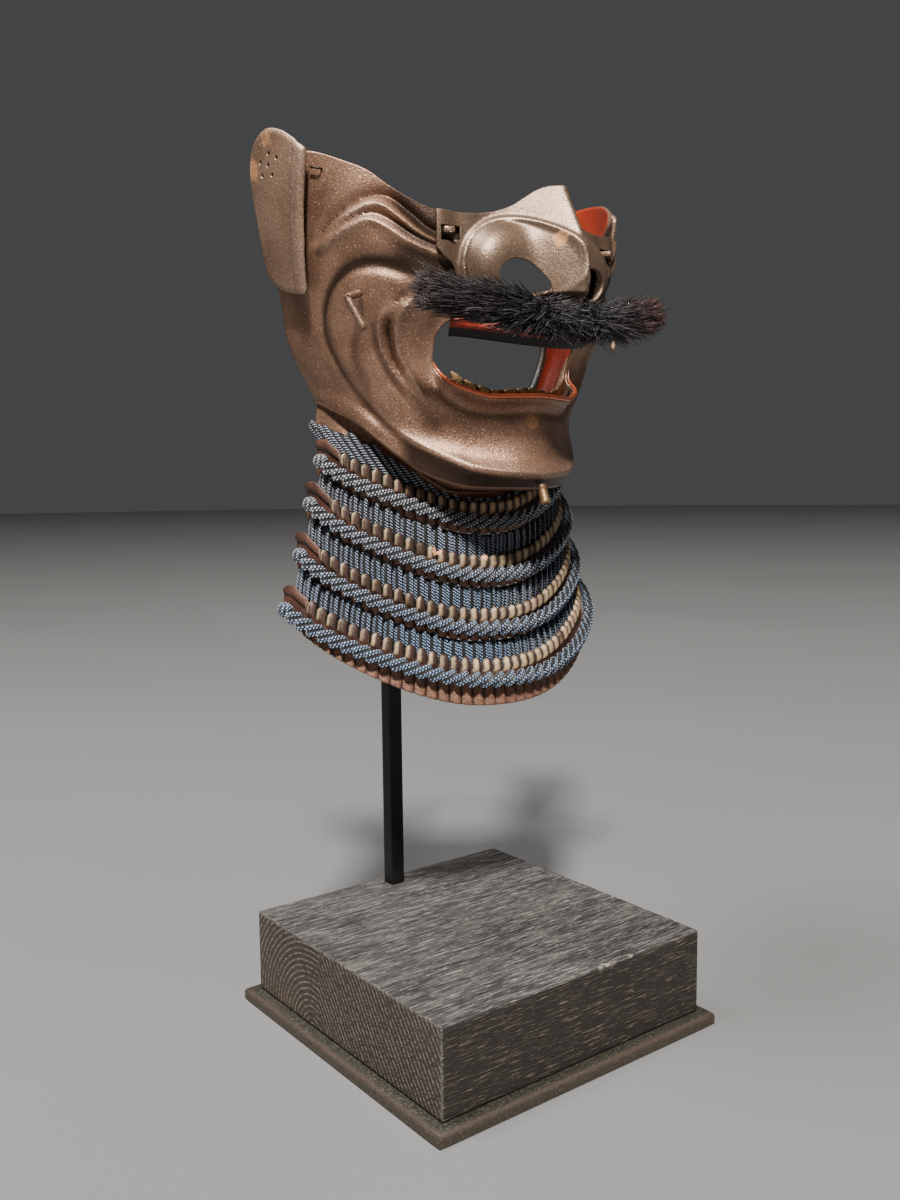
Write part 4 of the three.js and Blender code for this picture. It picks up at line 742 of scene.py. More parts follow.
def add_mask():
    angle, height = mask_chart(201, 88)
    angle, height, drop = open_holes(angle, height, both_sides(CHEEK_HOLES), round_outline)
    out, worn = relief(angle, height)
    single("mask_shell", russet, ["mask_body"], "russet_iron", on_base(angle, height, out),
           wall=FACE_WALL - 0.3, drop=drop, worn=worn)
    single("mask_lining", vermilion, ["mask_body"], "red_lacquer",
           on_face(*mask_chart(91, 44), LINING_WALL - FACE_WALL), wall=LINING_WALL - 0.02)


add_mask()

# %% [markdown]
# ## The floor under the jaw
# Under the keel the sheet turns in to the neck and ends in a short flange, from which the throat guard
# hangs. Its section is a short list of places between the jaw's edge and the neck's own oval, and the same
# section is carried round from one jaw corner to the other.

# %% Floor and flange
NECK, FLANGE_OUT, FLOOR_DROP = (60.4, 38.6, 2), 1.7, 1.2


def add_neck():
    """Section (radius, height) at each angle: from the jaw edge in to the neck oval, then down the flange."""
    angle = np.linspace(-90, 90, 221)
    height = jaw_edge_height(angle)
    edge = base_radius(angle, height) + relief(angle, height)[0]
    ring = oval(angle, *NECK)
    floor = height - FLOOR_DROP
    lines = [(edge, height), (mix(edge, ring, 0.12), floor), (mix(edge, ring, 0.6), floor),
             (ring, floor - 0.6), (ring + FLANGE_OUT, floor - mix(5.5, 11, climb(np.abs(angle))))]
    rows = np.array([np.stack(line, -1).ravel() for line in lines])
    radius, height = smooth_line(rows, 6).reshape(-1, len(angle), 2).T
    single("mask_neck_floor", russet, ["mask_body"], "russet_iron", polar(angle[:, None], radius, height),
           wall=FACE_WALL, worn=0.0)


add_neck()

# %% [markdown]
# ## The nose piece
# The nose is a piece of its own that hooks over two pegs, so that it can be taken off to drink. It follows
# the plan of the face, with a sharp ridge, a dome over each nostril and a fine raised arc round the dome.
# The ridge and the dome are blended with log(exp a + exp b), which leaves a soft crease between them.

# %% Ridge, domes and nostrils
nose_ridge = smooth_curve([318, 323, 326.5, 330, 340, 350, 360, 372, 376],
                          [9.5, 11, 18.4, 31.3, 30.8, 29.7, 25.5, 20.2, 18.8])
nose_wedge = smooth_curve([318, 326, 332, 376], [32, 31, 30, 30])
nose_top = smooth_curve([0, 3, 5.5, 9, 12, 18, 26, 33], [373, 372.8, 371.5, 368, 365, 362.3, 361.3, 361.8])
nose_side = smooth_curve([318, 322, 327, 336, 341, 344, 348, 365], [30, 29.2, 28, 27.6, 28.6, 31.2, 33, 33])
DOME = {"across": 18, "height": 341.5, "radius": 17.8, "out": 13.5}
NOSTRIL_ACROSS, NOSTRIL_HEIGHT, SLOT, SLOT_HALF = 15.3, 336.5, (29.3, 352.8), (3.9, 3.0)
NOSTRIL = np.array([[-3.4, 6.6], [1.4, 5.6], [4.8, 2.2], [7.2, -1.8], [7.6, -5], [5.6, -7.4],
                    [1, -8.6], [-5, -7], [-8.6, -3], [-9.4, 1], [-7.2, 4.8]])
NOSE_WALL, NOSE_FOOT, NOSE_LIFT, TAB_LIFT, NOSE_BLEND = 1.8, 321, 0.45, 2.4, 3


def nose_swell(angle, height):
    """ridge = out * flank^1.55 and dome = out * sqrt(1 - away^2.8), blended over 3 mm, plus the fine arc.
    Also how worn it is: high on the ridge's edge and on the arc."""
    across = base_radius(angle, height) * np.sin(np.radians(np.abs(angle)))
    flank = np.maximum(0, 1 - np.hypot(across, 0.8) / nose_wedge(height))
    ridge = nose_ridge(height) * flank ** 1.55
    away = np.hypot(across - DOME["across"], height - DOME["height"]) / DOME["radius"]
    dome = DOME["out"] * np.sqrt(np.maximum(0, 1 - away ** 2.8))
    arc = bell((away - 1.02) / 0.07) * ease((height - 326) / 10)
    both = NOSE_BLEND * np.log((np.exp(ridge / NOSE_BLEND) + np.exp(dome / NOSE_BLEND)) / 2)
    return np.maximum(0, both) + 1.6 * arc, np.maximum(bell(across / 2.2), arc)


def smooth_loop(rows, samples=10):
    """Catmull-Rom line through rows that come back to the first."""
    rows = np.asarray(rows, float)
    return smooth_line(np.vstack([rows[-2:], rows, rows[:3]]), samples)[2 * samples:-2 * samples]


def nostril_outline(turn, side):
    """Distance from the nostril's centre to its edge in a direction; the table is given towards the ridge."""
    loop = smooth_loop(NOSTRIL)
    x, y = -side * loop[:, 0], loop[:, 1]
    t, r = np.arctan2(y, x), np.hypot(x, y)
    order = np.argsort(t)
    return np.interp(turn, t[order], r[order], period=2 * np.pi)


def slot_outline(turn, side):
    """Distance from a rectangle's centre to its edge in a direction."""
    ways = np.maximum(np.abs([np.cos(turn), np.sin(turn)]), 1e-6)
    return np.minimum(SLOT_HALF[0] / ways[0], SLOT_HALF[1] / ways[1])


def add_nose():
    side = np.linspace(-1, 1, 211)[:, None]
    height = mix(nose_top(np.abs(side) * 33), NOSE_FOOT, np.linspace(0, 1, 130)[None])
    angle = side * nose_side(height)
    nostril = math.degrees(math.asin(NOSTRIL_ACROSS / float(base_radius(12, NOSTRIL_HEIGHT))))
    angle, height, drop = open_holes(angle, height, both_sides([(nostril, NOSTRIL_HEIGHT)]), nostril_outline)
    angle, height, more = open_holes(angle, height, both_sides([SLOT]), slot_outline)
    swell, worn = nose_swell(angle, height)
    lift = NOSE_WALL + mix(NOSE_LIFT, TAB_LIFT, ease((np.abs(angle) - 27) / 5))
    single("nose_guard", nose_iron, ["nose_piece"], "nose_iron", on_base(angle, height, lift + swell),
           wall=NOSE_WALL, drop=drop | more, worn=worn)


add_nose()

# %% [markdown]
# ## Ear plates
# A separate plate stands outside each cheek, held by a lace through six small holes. It is a rounded
# outline filled from its middle outwards, so the grid is polar, and its front edge carries a raised border.

# %% Two ear plates
EAR_OUTLINE = np.array([[66.4, 386.5], [71.6, 333.2], [75.5, 334.2], [80, 336.2], [84.4, 339.8],
                        [86.4, 344.6], [86.2, 366], [86, 381], [84.6, 389], [82, 393.8], [78, 396.4],
                        [73.6, 395], [69.8, 391.2]])
EAR_MIDDLE, EAR_BORDER = (78, 368), np.array([[67.5, 387.5], [72.7, 333.5]])
EAR_HOLES = [[77.3, 387.6], [74.6, 385.2], [80.8, 385.2], [77.9, 383.4], [80.5, 380], [76.7, 379.3]]
PLATE_WALL, PLATE_LIFT, BORDER_OUT, BORDER_HALF = 2.0, 2.5, 1.1, 1.75


def ear_outline(places=160):
    """The outline with its front edge straight and its other corners rounded, as evenly spaced places."""
    loop = smooth_line(np.vstack([EAR_OUTLINE[2:], EAR_OUTLINE[:1]]), 12)
    foot = mix(EAR_OUTLINE[1:2], EAR_OUTLINE[2:3], np.linspace(0, 1, 12)[:-1, None])
    front = mix(EAR_OUTLINE[:1], EAR_OUTLINE[1:2], np.linspace(0, 1, 60)[1:, None])
    closed = np.vstack([foot, loop, front])
    run = run_along(closed * [MM_PER_DEGREE, 1])
    at = np.linspace(0, run[-1], places + 1)[:-1]
    return np.stack([np.interp(at, run, closed[:, k]) for k in (0, 1)], -1)


def add_ear_plate(side, hand, settle):
    """Places mix(middle, outline, share^0.9); the border adds out * sqrt(1 - (d / half)^6) at the distance
    d from the front edge. settle is how much lower the plate has sunk, in mm."""
    loop = ear_outline()[::side]
    loop = np.vstack([loop, loop[:1]])
    share = np.linspace(0.004, 1, 58)[:, None] ** 0.9
    angle, height = (mix(EAR_MIDDLE[k], loop[None, :, k], share) for k in (0, 1))
    holes = [(side * a, h) for a, h in EAR_HOLES]
    angle, height, drop = open_holes(side * angle, height, holes, round_outline)
    away = np.abs(nearest(EAR_BORDER, np.abs(angle), height)[0])
    border = BORDER_OUT * np.maximum(0, 1 - (away / BORDER_HALF) ** 6) ** 0.5
    out = PLATE_LIFT + 0.1 * settle + PLATE_WALL + border - 0.5 * ease((share - 0.965) / 0.035)
    worn = np.maximum(bell(away / 1.4) * 0.7, ease((share - 0.95) / 0.05))
    single("ear_guard_" + hand, ear_iron, ["ear_plate_" + hand], "russet_iron",
           on_face(angle, height - settle, out).transpose(1, 0, 2), wall=PLATE_WALL, drop=drop.T, flip=True,
           worn=worn.T)


ear_iron = russet_finish("ear_iron_worn", (0.21, 0.122, 0.081), (0.35, 0.218, 0.152),
                         [((-86, 12, 396), 8), ((-90, 24, 384), 6), ((88, 14, 388), 9)], 0.5)
add_ear_plate(-1, "right", 0)
add_ear_plate(1, "left", 6)

# %% [markdown]
# ## Lips and teeth
# The upper lip is a lacquered strip that flares to a red edge and then folds back and hangs down inside
# it, painted near black there as the shade under the lip. The lower teeth are one gilt strip behind the
# lip, filed into twelve.

# %% Upper lip
LIP_SPAN, LIP_TOP, LIP_EDGE, LIP_HANG, LIP_FOLD, LIP_ROWS = 29.2, 320.1, 313.4, 4.2, 15, 24


def lip_finish():
    """Red lacquer above the fold, and below it near black, painted as the shade under the lip."""
    paint = Finish("lip_lacquer", Coat_Weight=0.12, Coat_Roughness=0.25, Specular_IOR_Level=0.25)
    fine = paint.noise(420, 3)
    # Painted shade: the part that hangs below the fold is near black.
    shade_black = (paint.value("under") + (fine - 0.5) * 0.2).between(0.35, 0.6)
    colour = paint.blend((0.2, 0.017, 0.006), (0.003, 0.002, 0.002), shade_black)
    return paint.done(colour, 0.42 + fine * 0.15, fine, 0.0002)


def add_upper_lip():
    """Out grows from the face to the edge, then falls back; height drops to the edge, then straight down."""
    side = np.linspace(-1, 1, 161)[:, None]
    row = np.arange(LIP_ROWS + 1)
    down = np.minimum(row / LIP_FOLD, 1)
    under = np.maximum(row - LIP_FOLD, 0) / (LIP_ROWS - LIP_FOLD)
    middle = np.cos(np.pi / 2 * side)
    edge = LIP_EDGE + 5 * (1 - np.maximum(middle, 0) ** 1.3)
    out = mix(mix(2, 10, middle), mix(0.5, 15, middle), down) - 2.6 * under
    height = mix(LIP_TOP, edge, down) - LIP_HANG * under
    single("upper_lip_strip", lip_finish(), ["upper_lip"], "red_lacquer",
           on_base(side * LIP_SPAN, height, out), wall=1.6, sharp=35, under=under * 2)


add_upper_lip()

# %% Lower teeth and the red rim of the lip
TEETH, TEETH_SPAN, TOOTH_RISE = 12, 28, 8.0


def tooth_finish():
    """Old gilding: gold rubbed to brown, darkest in the joints between the teeth."""
    paint = Finish("gilt_worn", Metallic=0.7)
    fine, joint = paint.noise(700, 3), paint.value("joint")
    colour = paint.layers((0.42, 0.27, 0.12), ((0.16, 0.09, 0.04), fine.between(0.4, 0.65)),
                          ((0.03, 0.016, 0.008), joint))
    return paint.done(colour, 0.35 + fine * 0.2, fine - joint * 0.8, 0.0004)


def add_teeth():
    """Twelve teeth over 56 degrees: each swells by |sin| across its width; the top edge dips at joints."""
    side = np.linspace(-1, 1, 24 * TEETH + 1)[:, None]
    share = np.abs(side)
    tooth = np.abs(np.sin(np.pi * TEETH / 2 * (side + 1)))
    dip = 1 - tooth ** 0.5
    rise = TOOTH_RISE * mix(1, 0.76, share) - 0.7 * dip
    height = MOUTH_HEIGHT(0.5 * share) - 3 + mix(rise, 0, np.linspace(0, 1, 9)[None])
    single("lower_teeth_strip", tooth_finish(), ["lower_teeth"], "gilt",
           on_base(side * TEETH_SPAN, height, -FACE_WALL - 1.95 - 0.3 * dip), wall=1.3,
           joint=(1 - tooth) ** 7)


def add_lip_rim():
    """A bead of red lacquer along the inner edge of the lower lip, thinning to nothing at its ends."""
    side = np.linspace(-1, 1, 241)
    share = np.abs(side)
    chart = MOUTH_SIDE(share * 0.62) * np.sign(side + 1e-9), MOUTH_HEIGHT(share * 0.62) + 0.95
    size = np.sqrt(np.clip((1 - share) / 0.4, 0.003, 1))
    rim_red = lacquer_finish("rim_lacquer", (0.5, 0.075, 0.02), (0.62, 0.12, 0.035))
    single("lip_rim", rim_red, ["mask_body"], "red_lacquer", tube_points(on_face(*chart, 0.1), size),
           loop=True, cap=True)


add_teeth()
add_lip_rim()

# %% [markdown]
# ## The moustache
# A brush of stiff boar hair is bound along a cord and fixed under the nose. Its middle is hidden by tips
# that point forwards, and at both ends the hair fans out and is cut flush. One hair is a three-sided spike
# of four rings, so all of them together stay light; a dark core fills what they leave open.

# %% The brush and its finish
half_height = smooth_curve([0, 0.28, 0.6, 0.85, 1], [6.6, 7.4, 6.8, 6.4, 6.0])
half_depth = smooth_curve([0, 0.28, 0.6, 0.85, 1], [5.4, 5, 5.2, 5.6, 5.2])
HAIR_REACH, HAIR_RINGS, HAIR_RADIUS = 66, np.array([0, 0.4, 0.75, 1.0]), 0.165


def hair_spine(t):
    """(66 t, mix(-68, -53, t^2), mix(320, 328, |t|^1.5)) for t from -1 to 1."""
    return np.stack([HAIR_REACH * t, mix(-68, -53, t * t), mix(320, 328, np.abs(t) ** 1.5)], -1)


def brush_ring(size, turn):
    """Places round the brush's oval section, across its spine, where it is that share of the way out."""
    return np.stack(np.broadcast_arrays(0, -half_depth(size) * np.cos(turn),
                                        half_height(size) * np.sin(turn)), -1)


def hair_finish():
    """Black hair with single hairs greyed or browned, and red-brown painted in towards the tips, most at the
    far end, as the light through the hair.
    """
    paint = Finish("black_bristle", Specular_IOR_Level=0.6)
    tint, tip = paint.value("tint"), paint.value("tip")
    colour = paint.layers((0.008, 0.007, 0.009), ((0.06, 0.06, 0.08), tint.between(0.75, 1.0)),
                          # Painted light: red-brown where the tip value is high.
                          ((0.32, 0.14, 0.11), tip * tint.between(0.1, 0.7) * 0.9))
    return paint.done(colour, 0.5 + tint * 0.2)


bristle = hair_finish()
print("the brush is", 2 * HAIR_REACH, "mm long")

# %% Core and hairs
def hair_lines(count):
    """Root, direction, bend and length of each hair. A hair leans along the spine and outwards from it; near
    the middle it may point either way and leans forwards and down. It ends where the brush is cut flush."""
    t = rng.uniform(-1, 1, count)
    start = np.sign(t) * np.abs(t) ** 0.8 * 0.86
    turn, depth = rng.uniform(0, 2 * np.pi, count), rng.uniform(0.55, 1.0, count)
    size = np.abs(start)
    side = np.where(size < 0.3, np.sign(rng.uniform(-1, 1, count)), np.sign(t))
    offset = brush_ring(size, turn)
    root = hair_spine(start) + offset * depth[:, None] * 0.86
    loose = rng.normal(0, 1, (count, 3))
    middle = 1 - ease(size / 0.5)
    lean = (0.1 + 0.25 * middle + 0.35 * rng.uniform(0, 1, count) ** 3) * (1 - 0.7 * size)
    ahead = unit(hair_spine(np.clip(start + side * 0.12, -1, 1)) - hair_spine(start))
    ahead = ahead * (1 - 0.35 * middle[:, None]) + np.array([0, -0.45, -0.4]) * middle[:, None]
    way = unit(ahead + unit(offset) * lean[:, None] + loose * mix(0.1, 0.24, middle[:, None]))
    reach = mix(8, 18, rng.uniform(0, 1, count)) * mix(1, 0.45, middle)
    room = (HAIR_REACH - np.abs(root[:, 0])) / np.maximum(np.abs(way[:, 0]), 0.3)
    length = np.minimum(reach, room * rng.uniform(0.94, 1.04, count))
    return root, way, unit(np.cross(way, loose)), length, size, side


def add_hairs(count=7500):
    """Ring k of a hair is root + length * (k * way + 0.03 sin(pi k) * bend), three points on a radius that
    tapers to the tip. Each hair has a random tint, and its tip value, the painted light in its colour, grows
    along it towards the ends and is four times stronger on the far end."""
    root, way, bend, length, size, side = hair_lines(count)
    k = HAIR_RINGS[:, None]
    run = way[:, None] * k + bend[:, None] * np.sin(k * np.pi) * 0.03
    line = root[:, None] + run * length[:, None, None]
    across = unit(np.cross(way, [0, 0, 1.0]))
    rise, corner = np.cross(across, way), circle(3)[:, None]
    ring = rise[:, None] * np.sin(corner) - across[:, None] * np.cos(corner)
    thick = HAIR_RADIUS * np.array([1, 0.95, 0.85, 0.6])[:, None, None]
    points = line[:, :, None] + thick * ring[:, None]
    surface = Surface()
    base = np.arange(count * 12).reshape(count, 4, 3)
    after = np.roll(base, -1, axis=2)
    sides = np.stack([base[:, :-1], after[:, :-1], after[:, 1:], base[:, 1:]], -1).reshape(-1, 4)
    ends = np.concatenate([base[:, 0, ::-1], base[:, -1]])
    surface.faces = [sides, np.column_stack([ends, ends[:, 2]])]
    surface.points, surface.uv = [points.reshape(-1, 3)], [np.zeros((count * 12, 2))]
    # Painted light at the tips, four times stronger at the far end.
    tip = np.repeat(HAIR_RINGS, 3) * (size ** 2 * mix(0.25, 1, side > 0))[:, None]
    surface.values = {"tint": [(0, np.repeat(rng.uniform(0, 1, count), 12))], "tip": [(0, tip.ravel())]}
    surface.mesh("moustache_hairs", bristle, ["moustache"], "bristle", sharp=180)


def add_moustache():
    t = np.linspace(-0.93, 0.93, 61)[:, None]
    turn = circle(28)
    lump = 0.8 + 0.04 * np.sin(5 * turn + 9 * t)
    single("moustache_core", bristle, ["moustache"], "bristle",
           hair_spine(t) + brush_ring(np.abs(t), turn) * lump[..., None], loop=True, cap=True, flip=True,
           tint=0.1, tip=0.0)
    add_hairs()


add_moustache()

# %% [markdown]
# ## Pegs, hooks, wire and drain
# The nose piece hooks over two square-headed pegs, the cords that tie the mask on pass round a bent hook on
# each cheek, the end of a lacing wire sticks out of one cheek, and a tube under the chin lets sweat out. All
# are bars bent or turned by hand: a ring carried along a path, or a profile swept round an axis.

# %% Square-headed pegs
PEG, HOOK, DRAIN, DRAIN_LEAN = (29.9, 353.6), (53.8, 331.0), (3.5, -45.8, 253.05), math.radians(19)


def outward(angle):
    """Level directions away from the face's axis, and sideways to the left of that."""
    out = np.array([math.sin(math.radians(angle)), -math.cos(math.radians(angle)), 0.0])
    return out, np.array([-out[1], out[0], 0])


def add_peg(side, hand):
    """A square-headed peg: rounded squares from the cheek out through the nose piece's slot."""
    out, across = outward(side * PEG[0])
    foot = on_face(*PEG) * [side, 1, 1]
    reach, size = np.array([[1.5, 5.6, 6.5, 6.8], [1, 1, 0.97, 0.8]])[..., None, None]
    turn = circle(24)[:, None] + 0.13
    square = np.maximum(np.abs(np.cos(turn)), np.abs(np.sin(turn))) ** -0.75
    ring = across * (2.3 * np.cos(turn) * square) + np.array([0, 0, 1.4]) * (np.sin(turn) * square)
    single("peg_" + hand, peg_iron, ["nose_peg_" + hand], "dark_iron", foot + out * reach + ring * size,
           loop=True, cap=True, worn=0.6)


# %% Bent bars: the hooks and the wire
def add_tube(name, path, radius, material, node, slot, sides=12, count=24, **values):
    """A round bar along a smooth path, with both ends rounded over."""
    line = smooth_line(path, 12)
    run = run_along(line)
    t, taper = rounded_ends(count, min(0.45, radius / run[-1]))
    points = np.stack([np.interp(t * run[-1], run, line[:, k]) for k in range(3)], -1)
    single(name, material, [node], slot, tube_points(points, radius * np.maximum(taper, 0.02), sides),
           loop=True, cap=True, **values)


def add_hook(side, hand):
    """A bent bar: out and back from the cheek to an elbow, then down."""
    root = on_face(*HOOK, 1.05) * [side, 1, 1]
    out, back = outward(side * HOOK[0])
    back = back * side
    elbow = root + out * 6 + back * 4.2 + [0, 0, -2.4]
    tip = elbow - back * 7 - out * 1.5 + [0, 0, -13]
    path = [root, mix(elbow, root, 0.25), mix(elbow, root, 0.04) + [0, 0, -0.15],
            mix(elbow, tip, 0.1), mix(elbow, tip, 0.5), tip]
    add_tube("hook_" + hand, path, 1.55, peg_iron, "cord_hook_" + hand, "dark_iron", count=34, worn=0.5)


def add_wire():
    """A wire out of the first cheek hole on the right, bent back towards the second."""
    angle, height = CHEEK_HOLES[0]
    out, across = outward(-angle)
    hole = polar(-angle, float(base_radius(angle, height)), height)
    path = [hole - out * 2.6, hole + out * 1.5, hole + out * 2.2 - across * 0.8,
            hole + out * 2.2 - across * 4.6 + [0, 0, 1.2]]
    add_tube("wire_end", path, 0.5, peg_iron, "wire_end_right", "dark_iron", sides=8, worn=-1.0)


# %% The drain, and then all the fittings
def add_drain():
    """A turned tube: a closed profile of (radius, drop) swept round an axis that leans forward."""
    radius, drop = np.array([[1.0, 0], [2.0, 0], [2.05, -1.6], [1.75, -2.2], [2.0, -2.9], [2.1, -6.4],
                             [2.4, -7.1], [2.35, -7.9], [2.1, -8.5], [1.0, -8.5], [1.0, 0]]).T[..., None]
    x, y = radius * np.cos(circle(32)), radius * np.sin(circle(32))
    cos, sin = math.cos(DRAIN_LEAN), math.sin(DRAIN_LEAN)
    points = np.array(DRAIN) + np.stack([x, y * cos + drop * sin, drop * cos - y * sin], -1)
    old_gilt = russet_finish("old_gilt", (0.09, 0.05, 0.026), (0.24, 0.14, 0.07))
    single("drain_tube", old_gilt, ["sweat_drain"], "gilt", points, loop=True, flip=True)


peg_iron = russet_finish("peg_iron_worn", (0.1, 0.056, 0.036), (0.24, 0.135, 0.085))
for side, hand in ((-1, "right"), (1, "left")):
    add_peg(side, hand)
    add_hook(side, hand)
add_wire()
add_drain()

# %% [markdown]
# ## The lames of the throat guard
# Each lame looks like a row of small scales laced side by side. It hangs on half an oval and climbs towards
# its ends. Its upper edge is a row of rounded heads, gilded and worn; below them the plate is lacquered dark
# and ribbed; its two ends are plain, with rounded corners. One function gives a place on a lame from an
# angle along it, a drop below its upper edge and a distance out, and the cords use the same function.

# %% Places on a lame
GUARD_Y, END_ANGLE = 20, 97
LAME_TERMS = ("half_width", "reach", "fullness", "front", "end", "climb", "fall_front", "fall_end", "flare")
LAMES = [dict(zip(LAME_TERMS, row)) for row in (
    (61.2, 31.6, 1.9, 246, 273.6, 2.4, 15, 21, 0.6),
    (66.9, 35.3, 1.85, 222.3, 255.2, 2.6, 15, 21, 0.6),
    (72.6, 39, 1.78, 198.8, 233.2, 2.65, 15, 20.5, 0.6),
    (78.6, 43.8, 1.72, 176.8, 210.2, 2.5, 20.5, 14, 4.6))]
LAME_WALL, PLAIN_END, SHOULDER_OUT, END_PLACES = 1.3, 17, 1.8, 26
HEAD_PITCH, HEAD_OUT, RIDGE_AT, HEAD_PLACES = 5.1, 2.0, 0.16, 10


def lame_height(lame, angle):
    size = np.abs(angle)
    rise = mix(lame["front"], lame["end"], (np.minimum(size, 90) / 90) ** lame["climb"])
    return rise + np.maximum(0, size - 90) * 0.2


def lame_fall(lame, angle):
    return mix(lame["fall_front"], lame["fall_end"], (np.minimum(np.abs(angle), 90) / 90) ** 3.5)


def on_lame(lame, angle, drop, out=0.0):
    """Half an oval that widens with the drop, and beyond 90 degrees a straight run back."""
    angle, drop, out = np.broadcast_arrays(angle, drop, out)
    flare = lame["flare"] * np.clip(drop / lame["fall_front"], -0.2, 1.2)
    bend = np.clip(angle, -90, 90)
    radius = oval(bend, lame["half_width"] + flare, lame["reach"] + flare, lame["fullness"])
    place = polar(bend, radius + out, lame_height(lame, angle) - drop, GUARD_Y)
    place[..., 1] += np.maximum(0, np.abs(angle) - 90) * 1.3
    return place


def lame_run(lame, end=END_ANGLE):
    """Length along a lame's upper edge, and the angle at each distance."""
    fine = np.linspace(-end, end, 1441)
    run = run_along(on_lame(lame, fine, 0.0))
    return run[-1], lambda distance: np.interp(distance, run, fine)


for number, lame in enumerate(LAMES, 1):
    print("lame", number, "is", round(lame_run(lame)[0]), "mm round")

# %% [markdown]
# ## Scales on a lame
# The real plate is one strip with scales built up in lacquer. Each head curves slowly up to its ridge and
# falls off steeply, so the light picks out every one; under the rope the scales end as small tongues. All
# of it is one height over the grid, because a separate mesh for each scale would show seams.

# %% Heads, ribs and plain ends
LAME_CHIPS = [((-29, -14, 225), 2.2), ((-5, -18.3, 221.5), 1.6)]


def lame_finish():
    """Heads gilded pale gold, with painted light on their left faces and painted shade on their right faces
    and in the gaps between them; reddish lacquered tongues below.
    """
    paint = Finish("lame_lacquer", Metallic=0.2)
    cloud, fine = paint.noise(90, 4), paint.noise(1200, 3, 0.7)
    # Painted light: gold laid on the left face of each head, broken by cloudy wear.
    gilt = (paint.value("crown") * 1.25 - 0.15 + (cloud - 0.5) * 1.2).between(0.1, 0.8)
    colour = paint.layers(
        (0.035, 0.014, 0.009), ((0.09, 0.038, 0.024), cloud.between(0.35, 0.7)),
        ((0.3, 0.15, 0.095), paint.value("crest") * fine.between(0.3, 0.6) * 0.8),
        # Painted shade: the heads dark brown, so that their right faces stay dark beside the painted light.
        ((0.05, 0.027, 0.019), paint.value("head") * 0.95), ((0.46, 0.33, 0.2), gilt),
        # Painted shade: near black in the gaps between the heads.
        ((0.01, 0.006, 0.005), paint.value("gap").between(0.3, 0.75)),
        *(((0.8, 0.4, 0.22), paint.near(centre, radius, 0.2, fine)) for centre, radius in LAME_CHIPS))
    return paint.done(colour, 0.36 + fine * 0.3, fine + cloud, 0.00025)


def head_shape(p):
    """A head across its width, p from -0.5 to 0.5: it rises as a power of a quarter sine to its ridge and
    falls from there as a quarter circle."""
    rising = np.sin(np.pi / 2 * np.clip((p + 0.5) / (RIDGE_AT + 0.5), 0, 1)) ** 0.85
    return np.where(p < RIDGE_AT, rising ** 1.3, arch(np.maximum(0, (p - RIDGE_AT) / (0.5 - RIDGE_AT))))


def add_lame(number, lame):
    """Heads lift the surface by 2 mm, fading out 4 to 9 mm down, and scallop the upper edge. Under the rope
    each scale comes out again as a tongue of the same width, which the lowest lame keeps as a long rib."""
    length, angle_at = lame_run(lame)
    heads = int((length - 2 * PLAIN_END) / HEAD_PITCH)
    start = (length - heads * HEAD_PITCH) / 2
    distance = np.concatenate([np.linspace(0, start, END_PLACES)[:-1],
                               start + np.arange(heads * HEAD_PLACES) * HEAD_PITCH / HEAD_PLACES,
                               np.linspace(length - start, length, END_PLACES)])
    angle, place = angle_at(distance)[:, None], ((distance - start) / HEAD_PITCH)[:, None]
    plain, last = (place <= 0) | (place >= heads), number == len(LAMES)
    p = np.where(plain, 0.5, place - np.floor(place) - 0.5)
    head, tongue = head_shape(p), arch(2 * p)
    from_end = np.minimum(distance, length - distance)[:, None]
    corner = 8 * (1 - arch(np.maximum(0, 1 - from_end / 8)))
    top = np.where(plain, corner * 0.45, 2.3 * (1 - head))
    bottom = lame_fall(lame, angle) - corner - np.where(plain | last, 0, 1.1 * (1 - tongue))
    drop = mix(top, bottom, np.concatenate([np.linspace(0, 0.3, 12)[:-1], np.linspace(0.3, 1, 19)]))
    tip = arch(1 - np.clip((drop - top) / 1.7, 0, 1))
    fade = 1 - ease((drop - 4) / 5)
    low = ease((drop - 10.5) / 1.5) * (1 if last else arch(np.maximum(0, (drop - 13) / 3.4)))
    shoulder = 0.7 * arch((drop - 2.2) / 2.6)
    rib = (0.8 * tongue ** 0.5 if last else 1.3 * tongue) * low
    out = LAME_WALL + np.where(plain, shoulder * SHOULDER_OUT, HEAD_OUT * head * tip * fade + rib)
    # Painted light: each head pale on its left face up to the ridge; its right face stays dark as painted
    # shade.
    lit = (0.55 + 0.45 * ease((0.1 - p) / 0.4)) * ease((0.17 - p) / 0.1)
    gold = 0.75 + 0.25 * np.sin(place * 2.1) * np.sin(place * 0.61 + number)
    rubbed = np.where(plain, ease(shoulder - 0.45) * 0.8, tongue ** 2 * low)
    single(f"lame_row_{number}", lame_paint, [f"lame_{number}"], "lacquered_lame",
           on_lame(lame, angle, drop, out), wall=LAME_WALL,
           crown=np.where(plain, 0, (1 - ease((drop - 5) / 2)) * lit * gold),
           crest=np.maximum(rubbed, ease(drop - bottom + 1) * 0.5),
           head=np.where(plain, 0, 1 - ease((drop - 4.6) / 2)), gap=np.where(plain, 0, 1 - head) * fade)


lame_paint = lame_finish()
for number, lame in enumerate(LAMES, 1):
    add_lame(number, lame)

# %% [markdown]
# ## Silk cords
# Flat silk braid of five cords runs up from each lame over the next, and a row of slanting braid
# ends lies under the heads like a rope, closed by a knob at each end. One braid is a grid whose section
# has a lobe for each cord; the finish twills it with the piece's own UV map, u across and v along in mm.

